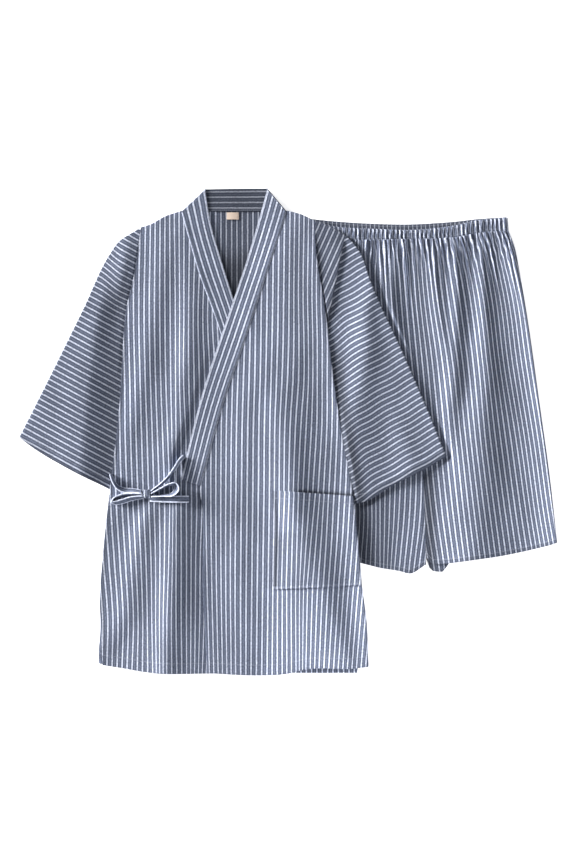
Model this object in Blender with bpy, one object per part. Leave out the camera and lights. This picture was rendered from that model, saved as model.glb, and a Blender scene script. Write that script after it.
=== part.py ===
"""Kimono pajama set, laid flat: a wrap top with a collar band, a patch pocket and a tied bow, and gathered
shorts half under it.

Metres, X to the right, Y towards the neck, Z up from the surface that the set lies on. The wearer's left is at
+X. Every piece is a wall of cloth between two grids of points. A grid's rows run across the garment, from the
neck or waist down to the hem.
"""

from collections import namedtuple
import math

import bpy
from mathutils import Matrix
import numpy as np

# Thicknesses and clearances
CLOTH = 0.0015
COLLAR_WALL = 0.0024  # the band is the cloth doubled
LABEL_WALL = 0.0010
TIE_WALL = 0.0016
LAYER_GAP = 0.0004  # between the two layers of one tube
PANEL_GAP = 0.0006  # between a panel and the one over it
SEAM_GAP = 0.0004  # between two pieces sewn edge to edge

MIDDLE = (0.0005, 0.0010)  # the middle of the set's outline on the page, which becomes the origin

# Layers of the top, measured up from what the back panel lies on
FRONT_LEVEL = CLOTH + PANEL_GAP
CREASE_LEVEL = COLLAR_WALL + LAYER_GAP
OVER_LEVEL = FRONT_LEVEL + COLLAR_WALL + PANEL_GAP

# The shorts under the top
HIDDEN_RELIEF = 0.0016  # the highest gather or fold where the top lies on the shorts
SHORTS_STACK = 2 * CLOTH + LAYER_GAP + HIDDEN_RELIEF + 2 * LAYER_GAP
SIDE_RAMP = 0.120  # how far the top takes to come down beside the shorts
HEM_RAMP = 0.160  # and below them
FOLD_EASE = 0.020  # how far the under front's folds take to die out before the over front
STACK_MARGIN = 0.006  # how far each rise is complete before the hidden edge under it
WRAP_START = 0.345  # below this height on the page the over front climbs over the under front's band
WRAP_RISE = 0.100
WRAP_EASE = 0.050  # how far past the hidden band it comes down again
CREASE_START = 0.330  # above this height the band climbs to its crease at the shoulder
CREASE_RISE = 0.050

# The top's edges, each a smooth curve through a few (x, y) points from top to bottom
RIGHT_SIDE = [(-0.264, 0.369), (-0.278, 0.275), (-0.289, 0.228), (-0.298, 0.117), (-0.303, 0.042),
              (-0.320, -0.102), (-0.333, -0.226), (-0.338, -0.310), (-0.335, -0.355), (-0.333, -0.418)]
LEFT_SIDE = [(0.048, 0.380), (0.049, 0.339), (0.066, 0.224), (0.085, 0.070), (0.098, -0.011),
             (0.114, -0.095), (0.125, -0.195), (0.132, -0.274), (0.140, -0.335), (0.144, -0.420)]
BACK_RIGHT_SIDE = RIGHT_SIDE[:8] + [(-0.337, -0.345), (-0.342, -0.415)]
BACK_LEFT_SIDE = LEFT_SIDE[:8] + [(0.132, -0.335), (0.124, -0.432)]
RIGHT_BAND_SEAM = [(-0.191, 0.3985), (-0.177, 0.348), (-0.159, 0.287), (-0.132, 0.214), (-0.096, 0.101),
                   (-0.048, -0.064), (-0.040, -0.095)]
LEFT_BAND_SEAM = [(-0.003, 0.3985), (-0.015, 0.359), (-0.037, 0.292), (-0.078, 0.166), (-0.120, 0.043),
                  (-0.149, -0.064), (-0.157, -0.095)]
RIGHT_BAND_EDGE = [(-0.150, 0.437), (-0.139, 0.373), (-0.120, 0.307), (-0.098, 0.237), (-0.039, 0.055),
                   (-0.005, -0.083)]
LEFT_BAND_EDGE = [(-0.036, 0.438), (-0.054, 0.373), (-0.077, 0.297), (-0.098, 0.235), (-0.157, 0.055),
                  (-0.191, -0.083)]
RIGHT_FRONT_EDGE = [(-0.040, -0.095), (-0.043, -0.258), (-0.050, -0.431)]
LEFT_FRONT_EDGE = [(-0.157, -0.095), (-0.152, -0.150), (-0.153, -0.258), (-0.145, -0.432)]
RIGHT_SLEEVE_FOLD = [(-0.272, 0.365), (-0.307, 0.341), (-0.319, 0.324), (-0.369, 0.221), (-0.429, 0.099),
                     (-0.483, -0.008)]
LEFT_SLEEVE_FOLD = [(0.058, 0.379), (0.085, 0.366), (0.117, 0.342), (0.131, 0.323), (0.148, 0.276),
                    (0.215, 0.127), (0.267, 0.004), (0.285, -0.042)]

# Edges that run across, as (x, y) points from the wearer's right to left
RIGHT_SHOULDER = [(-0.264, 0.369), (-0.250, 0.373), (-0.220, 0.389), (-0.191, 0.3985)]
LEFT_SHOULDER = [(-0.003, 0.3985), (0.022, 0.392), (0.048, 0.380)]
RIGHT_HEM = [(-0.333, -0.418), (-0.299, -0.423), (-0.258, -0.430), (-0.146, -0.433), (-0.050, -0.431)]
LEFT_HEM = [(-0.145, -0.432), (-0.050, -0.436), (-0.009, -0.434), (0.038, -0.424), (0.115, -0.423),
            (0.144, -0.420)]
BACK_HEM = [(-0.342, -0.415), (-0.248, -0.424), (-0.122, -0.429), (0.028, -0.432), (0.124, -0.432)]
RIGHT_CUFF = [(-0.483, -0.008), (-0.459, -0.026), (-0.399, -0.062), (-0.320, -0.102)]
LEFT_CUFF = [(0.117, -0.128), (0.138, -0.123), (0.188, -0.094), (0.244, -0.066), (0.285, -0.042)]

# Rows of the body: the height on the page where each row meets the right side seam, the right front's inner
# edge, the left front's edge and the left side seam
BodyRow = namedtuple("BodyRow", "right_side right_edge left_edge left_side")
BODY_ROWS = [
    BodyRow(0.369, 0.3985, 0.3985, 0.380),
    BodyRow(0.345, 0.366, 0.362, 0.352),
    BodyRow(0.310, 0.325, 0.320, 0.312),
    BodyRow(0.262, 0.272, 0.270, 0.262),
    BodyRow(0.210, 0.217, 0.214, 0.205),
    BodyRow(0.155, 0.160, 0.158, 0.150),
    BodyRow(0.100, 0.105, 0.103, 0.095),
    BodyRow(0.045, 0.050, 0.048, 0.040),
    BodyRow(-0.010, -0.002, -0.005, -0.015),
    BodyRow(-0.060, -0.052, -0.053, -0.070),
    BodyRow(-0.102, -0.095, -0.095, -0.115),
    BodyRow(-0.150, -0.145, -0.143, -0.155),
    BodyRow(-0.200, -0.195, -0.191, -0.195),
    BodyRow(-0.250, -0.245, -0.240, -0.235),
    BodyRow(-0.300, -0.297, -0.288, -0.2735),
    BodyRow(-0.345, -0.345, -0.340, -0.325),
    BodyRow(-0.382, -0.390, -0.388, -0.372),
    BodyRow(-0.418, -0.431, -0.432, -0.420),
]
LAST_BAND_ROW = 10  # the collar band ends, the right underarm lies and the pocket starts at this row
LAST_POCKET_ROW = 14
POCKET_SHARES = (0.473, 0.440)  # how far across the left front the pocket's edge lies, at its top and bottom
LEFT_UNDERARM = -0.128

# Grid sizes
RIGHT_FRONT_COLUMNS = 14
LEFT_FRONT_COLUMNS = (8, 8)  # beside the pocket's line and across the pocket
BAND_COLUMNS = 4
BAND_RISE = 0.012  # how much higher a row of the band ends at its free edge than at its seam
BAND_TURN_ROWS = 3  # the rows over which it turns from there to the crease
NECK_ROWS = 8
SLEEVE_COLUMNS = (9, 4)  # front layer and back layer
LEG_BACK_COLUMNS = 5
WAIST_BACK_COLUMNS = 10
SLEEVE_EASE = (0.14, 0.12)  # the shares of a tube's width over which folds die out at its seam and its fold
LEG_EASE = (0.03, 0.06)
FOLD_ANGLES = np.radians([45.0, 0.0, -45.0])  # the points round a folded edge, from its top to its underside

# Soft folds: a ridge from one point to another, with its height and how far it spreads to each side
Fold = namedtuple("Fold", "x_top y_top x_low y_low height right left")
RIGHT_FRONT_FOLDS = [
    Fold(-0.189, 0.347, -0.203, 0.020, 0.0030, 0.022, 0.014),
    Fold(-0.243, 0.270, -0.250, -0.020, 0.0025, 0.030, 0.022),
    Fold(-0.246, -0.090, -0.318, -0.400, 0.0035, 0.035, 0.020),
    Fold(-0.221, -0.140, -0.235, -0.440, 0.0028, 0.018, 0.022),
]
LEFT_FRONT_FOLDS = [
    Fold(-0.009, 0.095, 0.022, -0.440, 0.0030, 0.034, 0.026),
    Fold(-0.004, 0.345, 0.034, -0.065, 0.0028, 0.024, 0.015),
    Fold(0.060, 0.240, 0.086, -0.085, 0.0024, 0.018, 0.012),
    Fold(0.010, -0.125, 0.078, -0.385, 0.0026, 0.028, 0.020),
    Fold(-0.100, -0.170, -0.112, -0.450, 0.0020, 0.022, 0.022),
]
RIGHT_SLEEVE_FOLDS = [
    Fold(-0.306, 0.320, -0.372, -0.070, 0.0042, 0.055, 0.034),
    Fold(-0.400, 0.120, -0.428, -0.050, 0.0016, 0.026, 0.020),
]
LEFT_SLEEVE_FOLDS = [
    Fold(0.099, 0.352, 0.069, 0.170, 0.0036, 0.030, 0.007),
    Fold(0.124, 0.320, 0.100, 0.010, 0.0040, 0.018, 0.036),
    Fold(0.108, 0.060, 0.128, -0.125, 0.0030, 0.014, 0.032),
    Fold(0.195, 0.120, 0.225, -0.060, 0.0014, 0.030, 0.024),
]
RIGHT_LEG_FOLDS = [
    Fold(0.176, 0.340, 0.196, 0.060, 0.0044, 0.016, 0.020),
    Fold(0.236, 0.000, 0.238, -0.260, 0.0032, 0.024, 0.012),
    Fold(0.168, -0.130, 0.176, -0.260, 0.0024, 0.016, 0.016),
]
LEFT_LEG_FOLDS = [
    Fold(0.266, 0.335, 0.306, -0.240, 0.0048, 0.020, 0.018),
    Fold(0.342, 0.330, 0.334, -0.160, 0.0040, 0.016, 0.018),
    Fold(0.372, 0.300, 0.384, -0.230, 0.0030, 0.016, 0.016),
    Fold(0.418, 0.300, 0.452, -0.220, 0.0040, 0.024, 0.020),
]

# Shorts
WAIST_SEAM = [(0.036, 0.348), (0.137, 0.346), (0.228, 0.348), (0.275, 0.349), (0.309, 0.352), (0.337, 0.358),
              (0.397, 0.363)]
WAIST_FRONT_TOP = [(0.036, 0.380), (0.094, 0.372), (0.159, 0.370), (0.220, 0.368), (0.261, 0.370),
                   (0.302, 0.375), (0.337, 0.382), (0.395, 0.387)]
WAIST_BACK_TOP = [(0.036, 0.384), (0.077, 0.380), (0.159, 0.375), (0.220, 0.374), (0.261, 0.376),
                  (0.302, 0.379), (0.337, 0.383), (0.395, 0.387)]
WAIST_GATHERS = 42
POINTS_PER_GATHER = 4
GATHER_HEIGHT = 0.0026
WAIST_END_SHARE = 0.01  # the share of the waist over which the gathers die out at each folded end
LEG_FOLD_LEAD = 0.3  # how much of a leg's folds is there at the waist, as a share of that distance
GATHER_REACH = 0.16  # how far down the legs the gathers run before they are smoothed out
PRESSED_SHARE = 0.2  # how much of their height gathers and folds keep under the top
UNDER_MARGIN = 0.003  # how far past the top's edge they stay low
UNDER_EASE = 0.030  # and how far they take to grow from there
RIGHT_LEG_SIDE = [(0.036, 0.348), (0.029, 0.184), (0.020, -0.032), (0.016, -0.222)]
LEFT_LEG_SIDE = [(0.397, 0.363), (0.407, 0.336), (0.416, 0.292), (0.427, 0.228), (0.452, 0.055),
                 (0.470, -0.075), (0.484, -0.197)]
CENTRE_SEAM = [(0.209, 0.347), (0.224, 0.184), (0.240, 0.022), (0.245, -0.068)]
RIGHT_INSEAM = CENTRE_SEAM[:3] + [(0.243, -0.068), (0.246, -0.136), (0.248, -0.237)]
LEFT_INSEAM = CENTRE_SEAM[:3] + [(0.247, -0.068), (0.255, -0.166), (0.263, -0.240)]
RIGHT_LEG_HEM = [(0.016, -0.222), (0.130, -0.234), (0.167, -0.243), (0.202, -0.249), (0.218, -0.253),
                 (0.248, -0.237)]
LEFT_LEG_HEM = [(0.263, -0.240), (0.293, -0.234), (0.329, -0.229), (0.386, -0.221), (0.443, -0.209),
                (0.473, -0.201), (0.484, -0.197)]
LEG_ROW_SHARES = (0.0, 0.04, 0.10, 0.18, 0.28, 0.39, 0.51, 0.63, 0.75, 0.88, 1.0)
BACK_HEM_DROP = 0.014  # the left leg's back layer shows under its front one beside the inseam
BACK_HEM_FULL = 0.04  # from the inseam to this share of the leg's width
BACK_HEM_FADE = 0.20  # and less and less over this share from there
SHORTS_LEFT_OF = (0.036, 0.033)  # the shorts' hidden side: its x at the waist, and how it leans

# Neck label: its middle and its size
LABEL_MIDDLE = (-0.0992, 0.3895)
LABEL_SIZE = (0.0212, 0.0122)

# Ties: a strip's middle line, its tilt from lying flat to standing on edge, and its lift off the cloth
TIE_WIDTH = 0.0112
TiePoint = namedtuple("TiePoint", "x y tilt lift")
SIDE_TIE = [
    TiePoint(-0.3175, -0.0760, 70, 0.0000),
    TiePoint(-0.3130, -0.0870, 66, 0.0000),
    TiePoint(-0.3060, -0.0975, 58, 0.0000),
    TiePoint(-0.2950, -0.1025, 54, 0.0000),
    TiePoint(-0.2800, -0.1045, 60, 0.0000),
    TiePoint(-0.2612, -0.1064, 77, 0.0005),
]
BAND_TIE = [
    TiePoint(-0.1872, -0.0430, 60, 0.0000),
    TiePoint(-0.1935, -0.0480, 65, 0.0006),
    TiePoint(-0.2030, -0.0620, 72, 0.0024),
    TiePoint(-0.2150, -0.0795, 76, 0.0026),
    TiePoint(-0.2300, -0.0950, 79, 0.0012),
    TiePoint(-0.2448, -0.1048, 80, 0.0006),
]
RIGHT_LOOP = [
    TiePoint(-0.2612, -0.1118, 78, 0.0000),
    TiePoint(-0.2800, -0.1132, 68, 0.0000),
    TiePoint(-0.3000, -0.1132, 62, 0.0000),
    TiePoint(-0.3130, -0.1162, 60, 0.0000),
    TiePoint(-0.3168, -0.1212, 60, 0.0000),
    TiePoint(-0.3110, -0.1264, 60, 0.0000),
    TiePoint(-0.2980, -0.1262, 62, 0.0000),
    TiePoint(-0.2800, -0.1222, 70, 0.0000),
    TiePoint(-0.2612, -0.1170, 78, 0.0000),
]
LEFT_LOOP = [
    TiePoint(-0.2448, -0.1096, 80, 0.0026),
    TiePoint(-0.2300, -0.1020, 78, 0.0036),
    TiePoint(-0.2130, -0.0935, 66, 0.0040),
    TiePoint(-0.2010, -0.0945, 60, 0.0036),
    TiePoint(-0.1982, -0.1030, 60, 0.0032),
    TiePoint(-0.2070, -0.1110, 62, 0.0030),
    TiePoint(-0.2260, -0.1135, 70, 0.0028),
    TiePoint(-0.2448, -0.1145, 80, 0.0026),
]
FRONT_END = [
    TiePoint(-0.2450, -0.1196, 0, 0.0000),
    TiePoint(-0.2250, -0.1198, 0, 0.0000),
    TiePoint(-0.2030, -0.1199, 0, 0.0000),
    TiePoint(-0.1790, -0.1199, 0, 0.0000),
]
BACK_END = [
    TiePoint(-0.2082, -0.0722, 0, 0.0000),
    TiePoint(-0.2078, -0.0810, 0, 0.0000),
    TiePoint(-0.2078, -0.0900, 0, 0.0000),
]
STEPS_PER_TIE_POINT = 2
KNOT_MIDDLE = (-0.2530, -0.1118)
KNOT_SIZE = (0.0140, 0.0165, 0.0135)
KNOT_SIDES = 14
KNOT_RINGS = (-1.0, -0.7, 0.0, 0.7, 1.0)  # rings along the knot, from its right end to its left
KNOT_SWELL = (0.62, 0.86, 1.0, 0.86, 0.62)  # each ring's share of the full size
KNOT_HOLE = 0.3  # the hole along the turned cloth
TIE_CLEARANCE = 0.0005

# Colours
STRIPED_BLUE = (0.24, 0.27, 0.35, 1.0)
CREAM = (0.86, 0.80, 0.68, 1.0)


def smooth(t):
    """0 up to t = 0, 1 from t = 1, and an S-shaped rise between."""
    t = np.clip(t, 0.0, 1.0)
    return t * t * (3.0 - 2.0 * t)


def curve(points, shares):
    """The points at the given shares of the length of a smooth curve through a short list of points.

    A point is its x and y on the page, and any more values that go with it.
    """
    points = np.array(points, float)
    length = np.concatenate([[0.0], np.cumsum(np.linalg.norm(np.diff(points[:, :2], axis=0), axis=1))])
    slope = np.gradient(points, length, axis=0)
    where = np.clip(shares, 0.0, 1.0) * length[-1]
    span = np.clip(np.searchsorted(length, where, side="right") - 1, 0, len(length) - 2)
    step = (length[span + 1] - length[span])[:, None]
    t = (where - length[span])[:, None] / step
    return (
        (1 + 2 * t) * (1 - t) ** 2 * points[span]
        + t * (1 - t) ** 2 * step * slope[span]
        + t**2 * (3 - 2 * t) * points[span + 1]
        - t**2 * (1 - t) * step * slope[span + 1]
    )


def at_heights(edge, heights):
    """Where an edge that runs from top to bottom passes the given heights on the page."""
    fine = curve(edge, np.linspace(0.0, 1.0, 400))
    heights = np.asarray(heights, float)
    return np.column_stack([np.interp(-heights, -fine[:, 1], fine[:, 0]), heights])


def height_across(edge, x):
    """The height on the page of an edge that runs across, at each x."""
    fine = curve(edge, np.linspace(0.0, 1.0, 400))
    return np.interp(x, fine[:, 0], fine[:, 1])


def ruled(right_edge, left_edge, shares):
    """Rows of points between two edges, at the given shares of the way across."""
    shares = np.broadcast_to(shares, (len(right_edge), np.shape(shares)[-1]))[..., None]
    return right_edge[:, None] * (1 - shares) + left_edge[:, None] * shares


def follow(grid, row, edge, weights):
    """Bends a grid's first or last row, and less and less the rows beside it, to an edge that runs across."""
    shift = height_across(edge, grid[row, :, 0]) - grid[row, :, 1]
    step = 1 if row == 0 else -1
    for number, weight in enumerate(weights):
        grid[row + step * number, :, 1] += weight * shift


def ridges(x, y, folds):
    """The height of soft ridges: each rises along its line with tapered ends and falls off to both sides."""
    total = np.zeros(np.shape(x))
    for fold in folds:
        run = np.array([fold.x_low - fold.x_top, fold.y_low - fold.y_top])
        length = np.hypot(*run)
        run /= length
        along = (x - fold.x_top) * run[0] + (y - fold.y_top) * run[1]
        across = (y - fold.y_top) * run[0] - (x - fold.x_top) * run[1]
        spread = np.where(across < 0, fold.right, fold.left)
        taper = smooth(3.0 * along / length) * smooth(3.0 * (length - along) / length)
        total += fold.height * taper * np.exp(-((across / spread) ** 2))
    return total


def support(x, y):
    """How high the top's underside lies: on the surface, or up on the hidden part of the shorts."""
    waist_x, lean = SHORTS_LEFT_OF
    hidden_side = waist_x - lean * (WAIST_BACK_TOP[0][1] - y) - STACK_MARGIN
    hidden_hem = height_across(RIGHT_LEG_HEM, np.minimum(x, LEFT_SIDE[-1][0])) - STACK_MARGIN
    beside = smooth((x - hidden_side) / SIDE_RAMP + 1.0)
    below = smooth((y - hidden_hem) / HEM_RAMP + 1.0)
    return SHORTS_STACK * beside * below


def out_from_under(x, y):
    """0 where the top covers the shorts and 1 from a small distance past its edge, to press folds low."""
    side = [point for point in LEFT_SIDE if point[1] < LEFT_UNDERARM]
    outline = [(-0.1, 0.5)] + LEFT_SLEEVE_FOLD + LEFT_CUFF[-2::-1] + side + [(-0.1, -0.5)]
    corners = np.array(outline)
    starts, ends = corners, np.roll(corners, -1, axis=0)
    point = np.stack([x, y], axis=-1)[..., None, :]
    side_vector = ends - starts
    share = ((point - starts) * side_vector).sum(-1) / (side_vector**2).sum(-1)
    nearest = starts + np.clip(share, 0.0, 1.0)[..., None] * side_vector
    distance = np.linalg.norm(point - nearest, axis=-1).min(-1)
    spans = (starts[:, 1] > point[..., 1]) != (ends[:, 1] > point[..., 1])
    rise = np.where(side_vector[:, 1] == 0, 1.0, side_vector[:, 1])
    crossing = starts[:, 0] + side_vector[:, 0] * (point[..., 1] - starts[:, 1]) / rise
    inside = (spans & (point[..., 0] < crossing)).sum(-1) % 2 == 1
    return np.where(inside, 0.0, smooth((distance - UNDER_MARGIN) / UNDER_EASE))


def over_lift(x, y):
    """How far up from the front level the over front lies: all the way over the under front's band."""
    hidden_edge = at_heights(RIGHT_BAND_EDGE, np.maximum(y, RIGHT_BAND_EDGE[-1][1]).ravel())[:, 0]
    hidden_edge = hidden_edge.reshape(np.shape(x)) + STACK_MARGIN
    return smooth((WRAP_START - y) / WRAP_RISE) * (1.0 - smooth((x - hidden_edge) / WRAP_EASE))


def right_front_height(x, y):
    """The underside of the under front, whose folds stop short of the over front."""
    edge = at_heights(LEFT_BAND_EDGE + LEFT_FRONT_EDGE[1:], np.ravel(y))[:, 0].reshape(np.shape(x))
    clear = smooth((edge - STACK_MARGIN - x) / FOLD_EASE)
    return support(x, y) + FRONT_LEVEL + clear * ridges(x, y, RIGHT_FRONT_FOLDS)


def left_front_height(x, y):
    """The underside of the over front."""
    lift = (OVER_LEVEL - FRONT_LEVEL) * over_lift(x, y)
    return support(x, y) + FRONT_LEVEL + lift + ridges(x, y, LEFT_FRONT_FOLDS)


def lifted(grid, height, wall):
    """The upper and lower points of a sheet over a flat grid, from the height of its underside."""
    low = np.dstack([grid, height])
    high = np.dstack([grid, height + wall])
    return high, low


def material(name, colour):
    """A plain finish in the piece's own colour."""
    finish = bpy.data.materials.new(name)
    finish.use_nodes = True
    shader = finish.node_tree.nodes["Principled BSDF"]
    shader.inputs["Base Color"].default_value = colour
    shader.inputs["Roughness"].default_value = 0.9
    shader.inputs["Metallic"].default_value = 0.0
    finish.diffuse_color = colour
    return finish


def wall(name, outer, inner, colour=STRIPED_BLUE, ring=False):
    """A closed wall between two grids of points, joined round the rim. A ring's last column meets its first."""
    rows, columns = outer.shape[:2]
    number = np.arange(rows * columns).reshape(rows, columns)
    if ring:
        number = np.hstack([number, number[:, :1]])
    inside = number + rows * columns

    def strips(first, second, third, fourth):
        return np.stack([first, second, third, fourth], axis=-1).reshape(-1, 4)

    faces = [
        strips(number[:-1, :-1], number[:-1, 1:], number[1:, 1:], number[1:, :-1]),
        strips(inside[:-1, :-1], inside[1:, :-1], inside[1:, 1:], inside[:-1, 1:]),
        strips(number[0, 1:], number[0, :-1], inside[0, :-1], inside[0, 1:]),
        strips(number[-1, :-1], number[-1, 1:], inside[-1, 1:], inside[-1, :-1]),
    ]
    if not ring:
        faces.append(strips(number[1:, -1], number[:-1, -1], inside[:-1, -1], inside[1:, -1]))
        faces.append(strips(number[:-1, 0], number[1:, 0], inside[1:, 0], inside[:-1, 0]))
    faces = np.vstack(faces)
    points = np.vstack([outer.reshape(-1, 3), inner.reshape(-1, 3)])
    corners = points[faces]
    halves = np.vstack([corners[:, [0, 1, 2]], corners[:, [0, 2, 3]]])
    if np.linalg.det(halves).sum() < 0:
        faces = faces[:, ::-1]
    mesh = bpy.data.meshes.new(name)
    mesh.from_pydata(points.tolist(), [], faces.tolist())
    mesh.shade_smooth()
    mesh.set_sharp_from_angle(angle=math.radians(40.0))
    piece = bpy.data.objects.new(name, mesh)
    piece.data.materials.append(material(name, colour))
    bpy.context.collection.objects.link(piece)
    return piece


def surface(x, y):
    """The flat surface that the set lies on."""
    return 0.0 * (x + y)


def folded_tube(name, seam, fold, front_shares, back_shares, relief, base=support, back_shift=None):
    """A tube laid flat: a front layer from its seam to its folded edge, round the fold, and back underneath.

    seam and fold hold a point for each row. The back layer lies on base(x, y), and relief(x, y, share) is the
    height of the front layer's folds. back_shift moves the back layer's last row on the page.
    """
    radius = CLOTH + LAYER_GAP / 2
    inner_radius = LAYER_GAP / 2
    across = fold - seam
    width = np.linalg.norm(across, axis=1)[:, None]
    out = across / width
    hinge = seam + out * (width - radius)

    def columns(shares):
        return ruled(seam, hinge, np.asarray(shares, float))

    front = columns(front_shares)
    floor = base(front[..., 0], front[..., 1])
    height = relief(front[..., 0], front[..., 1], np.broadcast_to(front_shares, front.shape[:2]))
    front_top = np.dstack([front, floor + 2 * CLOTH + LAYER_GAP + height])
    front_under = front_top - [0.0, 0.0, CLOTH]
    middle = base(hinge[:, 0], hinge[:, 1])[:, None] + radius
    turn_out, turn_in = [], []
    for angle in FOLD_ANGLES:
        turn_out.append(np.hstack([hinge + out * radius * math.cos(angle), middle + radius * math.sin(angle)]))
        turn_in.append(
            np.hstack([hinge + out * inner_radius * math.cos(angle), middle + inner_radius * math.sin(angle)])
        )
    back = columns(back_shares[::-1])
    if back_shift is not None:
        back[-1] += back_shift(np.asarray(back_shares[::-1], float))
    floor = base(back[..., 0], back[..., 1])
    back_under = np.dstack([back, floor])
    back_top = np.dstack([back, floor + CLOTH])
    outer = np.concatenate([front_top, np.stack(turn_out, axis=1), back_under], axis=1)
    inner = np.concatenate([front_under, np.stack(turn_in, axis=1), back_top], axis=1)
    return wall(name, outer, inner)


def bend_row(piece, rows, row, edge, gap=0.0):
    """Moves a tube's first or last row on the page from its straight line to an edge that runs across."""
    points = np.empty(len(piece.data.vertices) * 3)
    piece.data.vertices.foreach_get("co", points)
    grids = points.reshape(2, rows, -1, 3)
    line = grids[0, row]
    ends = line[[line[:, 0].argmin(), line[:, 0].argmax()]]
    straight = np.interp(grids[:, row, :, 0], ends[:, 0], ends[:, 1])
    grids[:, row, :, 1] += height_across(edge, grids[:, row, :, 0]) + gap - straight
    piece.data.vertices.foreach_set("co", points)
    piece.data.update()


def body_heights(column):
    return np.array([getattr(row, column) for row in BODY_ROWS])


def inward(points, distance):
    """The points moved across the page, to leave the gap of a seam."""
    return points + [distance, 0.0]


def make_back_panel():
    """The back, from side to side, under everything else of the top."""
    right = at_heights(BACK_RIGHT_SIDE, body_heights("right_side"))
    heights = body_heights("left_side")
    heights[-1] = BACK_LEFT_SIDE[-1][1]
    left = at_heights(BACK_LEFT_SIDE, heights)
    neck = (RIGHT_SHOULDER[-1][0], LEFT_SHOULDER[0][0])
    width = left[0, 0] - right[0, 0]
    shares = np.concatenate([
        np.linspace(0.0, (neck[0] - right[0, 0]) / width, 3),
        np.linspace((neck[0] - right[0, 0]) / width, (neck[1] - right[0, 0]) / width, 7)[1:],
        np.linspace((neck[1] - right[0, 0]) / width, 1.0, 3)[1:],
    ])
    grid = ruled(right, left, shares)
    top = RIGHT_SHOULDER[:-1] + [(x, RIGHT_SHOULDER[-1][1]) for x in neck] + LEFT_SHOULDER[1:]
    shift = np.interp(grid[0, :, 0], *np.transpose(top)) - SEAM_GAP - grid[0, :, 1]
    for row, weight in enumerate((1.0, 0.6, 0.25)):
        grid[row, :, 1] += weight * shift
    follow(grid, -1, BACK_HEM, (1.0, 0.5))
    high, low = lifted(grid, support(grid[..., 0], grid[..., 1]), CLOTH)
    return wall("back_panel", high, low)


def make_right_front():
    """The under front, from its side seam to the collar band's seam, and its hidden edge below that."""
    side = at_heights(RIGHT_SIDE, body_heights("right_side"))
    edge = at_heights(RIGHT_BAND_SEAM + RIGHT_FRONT_EDGE[1:], body_heights("right_edge"))
    grid = ruled(side, inward(edge, -SEAM_GAP), np.linspace(0.0, 1.0, RIGHT_FRONT_COLUMNS + 1))
    follow(grid, 0, RIGHT_SHOULDER, (1.0, 0.4))
    follow(grid, -1, RIGHT_HEM, (1.0, 0.5))
    high, low = lifted(grid, right_front_height(grid[..., 0], grid[..., 1]), CLOTH)
    return wall("right_front", high, low)


def left_front_grid():
    """The over front's points, with a column along the pocket's edge and rows along its top and bottom."""
    edge = at_heights(LEFT_BAND_SEAM + LEFT_FRONT_EDGE[1:], body_heights("left_edge"))
    side = at_heights(LEFT_SIDE, body_heights("left_side"))
    pocket_line = np.interp(np.arange(len(BODY_ROWS)), (LAST_BAND_ROW, LAST_POCKET_ROW), POCKET_SHARES)
    before, across = LEFT_FRONT_COLUMNS
    first = pocket_line[:, None] * np.linspace(0.0, 1.0, before + 1)
    second = pocket_line[:, None] + (1.0 - pocket_line[:, None]) * np.linspace(0.0, 1.0, across + 1)[1:]
    grid = ruled(inward(edge, SEAM_GAP), side, np.hstack([first, second]))
    follow(grid, 0, LEFT_SHOULDER, (1.0, 0.4))
    follow(grid, -1, LEFT_HEM, (1.0, 0.5))
    return grid


def make_left_front():
    """The over front, and the patch pocket from the same points, moved out."""
    grid = left_front_grid()
    high, low = lifted(grid, left_front_height(grid[..., 0], grid[..., 1]), CLOTH)
    wall("left_front", high, low)
    before = LEFT_FRONT_COLUMNS[0]
    patch = high[LAST_BAND_ROW : LAST_POCKET_ROW + 1, before:]
    under = patch + [0.0, 0.0, SEAM_GAP]
    wall("patch_pocket", under + [0.0, 0.0, CLOTH], under)


def make_sleeve(name, side, heights, first_share, fold, cuff, folds):
    """A wide sleeve as a tube laid flat, from the armhole seam to its folded edge, open at the cuff."""
    armhole = at_heights(side, heights)
    start = armhole[0] + (armhole[1] - armhole[0]) * first_share
    seam = inward(np.vstack([start, armhole[1:]]), math.copysign(SEAM_GAP, cuff[0][0]))
    length = np.concatenate([[0.0], np.cumsum(np.linalg.norm(np.diff(seam, axis=0), axis=1))])
    edge = curve(fold, length / length[-1])
    front_columns, back_columns = SLEEVE_COLUMNS

    def relief(x, y, share):
        seam_ease, fold_ease = SLEEVE_EASE
        return smooth(share / seam_ease) * smooth((1.0 - share) / fold_ease) * ridges(x, y, folds)

    front_shares = np.linspace(0.0, 1.0, front_columns + 1)
    back_shares = np.linspace(0.0, 1.0, back_columns + 1)
    piece = folded_tube(name, seam, edge, front_shares, back_shares, relief)
    bend_row(piece, len(seam), -1, cuff)
    return piece


def band_rows(seam_edge, free_edge, heights, level):
    """Rows across one front part of the collar band, from the crease at the shoulder down to its end.

    It gives the rows' points on the page, from the free edge to the seam, and the heights of their underside.
    """
    turned = 1.0 - smooth(np.arange(len(heights)) / BAND_TURN_ROWS)
    rise = BAND_RISE + (free_edge[0][1] - heights[0] - BAND_RISE) * turned
    seam = at_heights(seam_edge, heights)
    free = at_heights(free_edge, heights + rise)
    grid = ruled(free, seam, np.linspace(0.0, 1.0, BAND_COLUMNS + 1))
    return grid, level(grid[..., 0], grid[..., 1])


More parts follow.
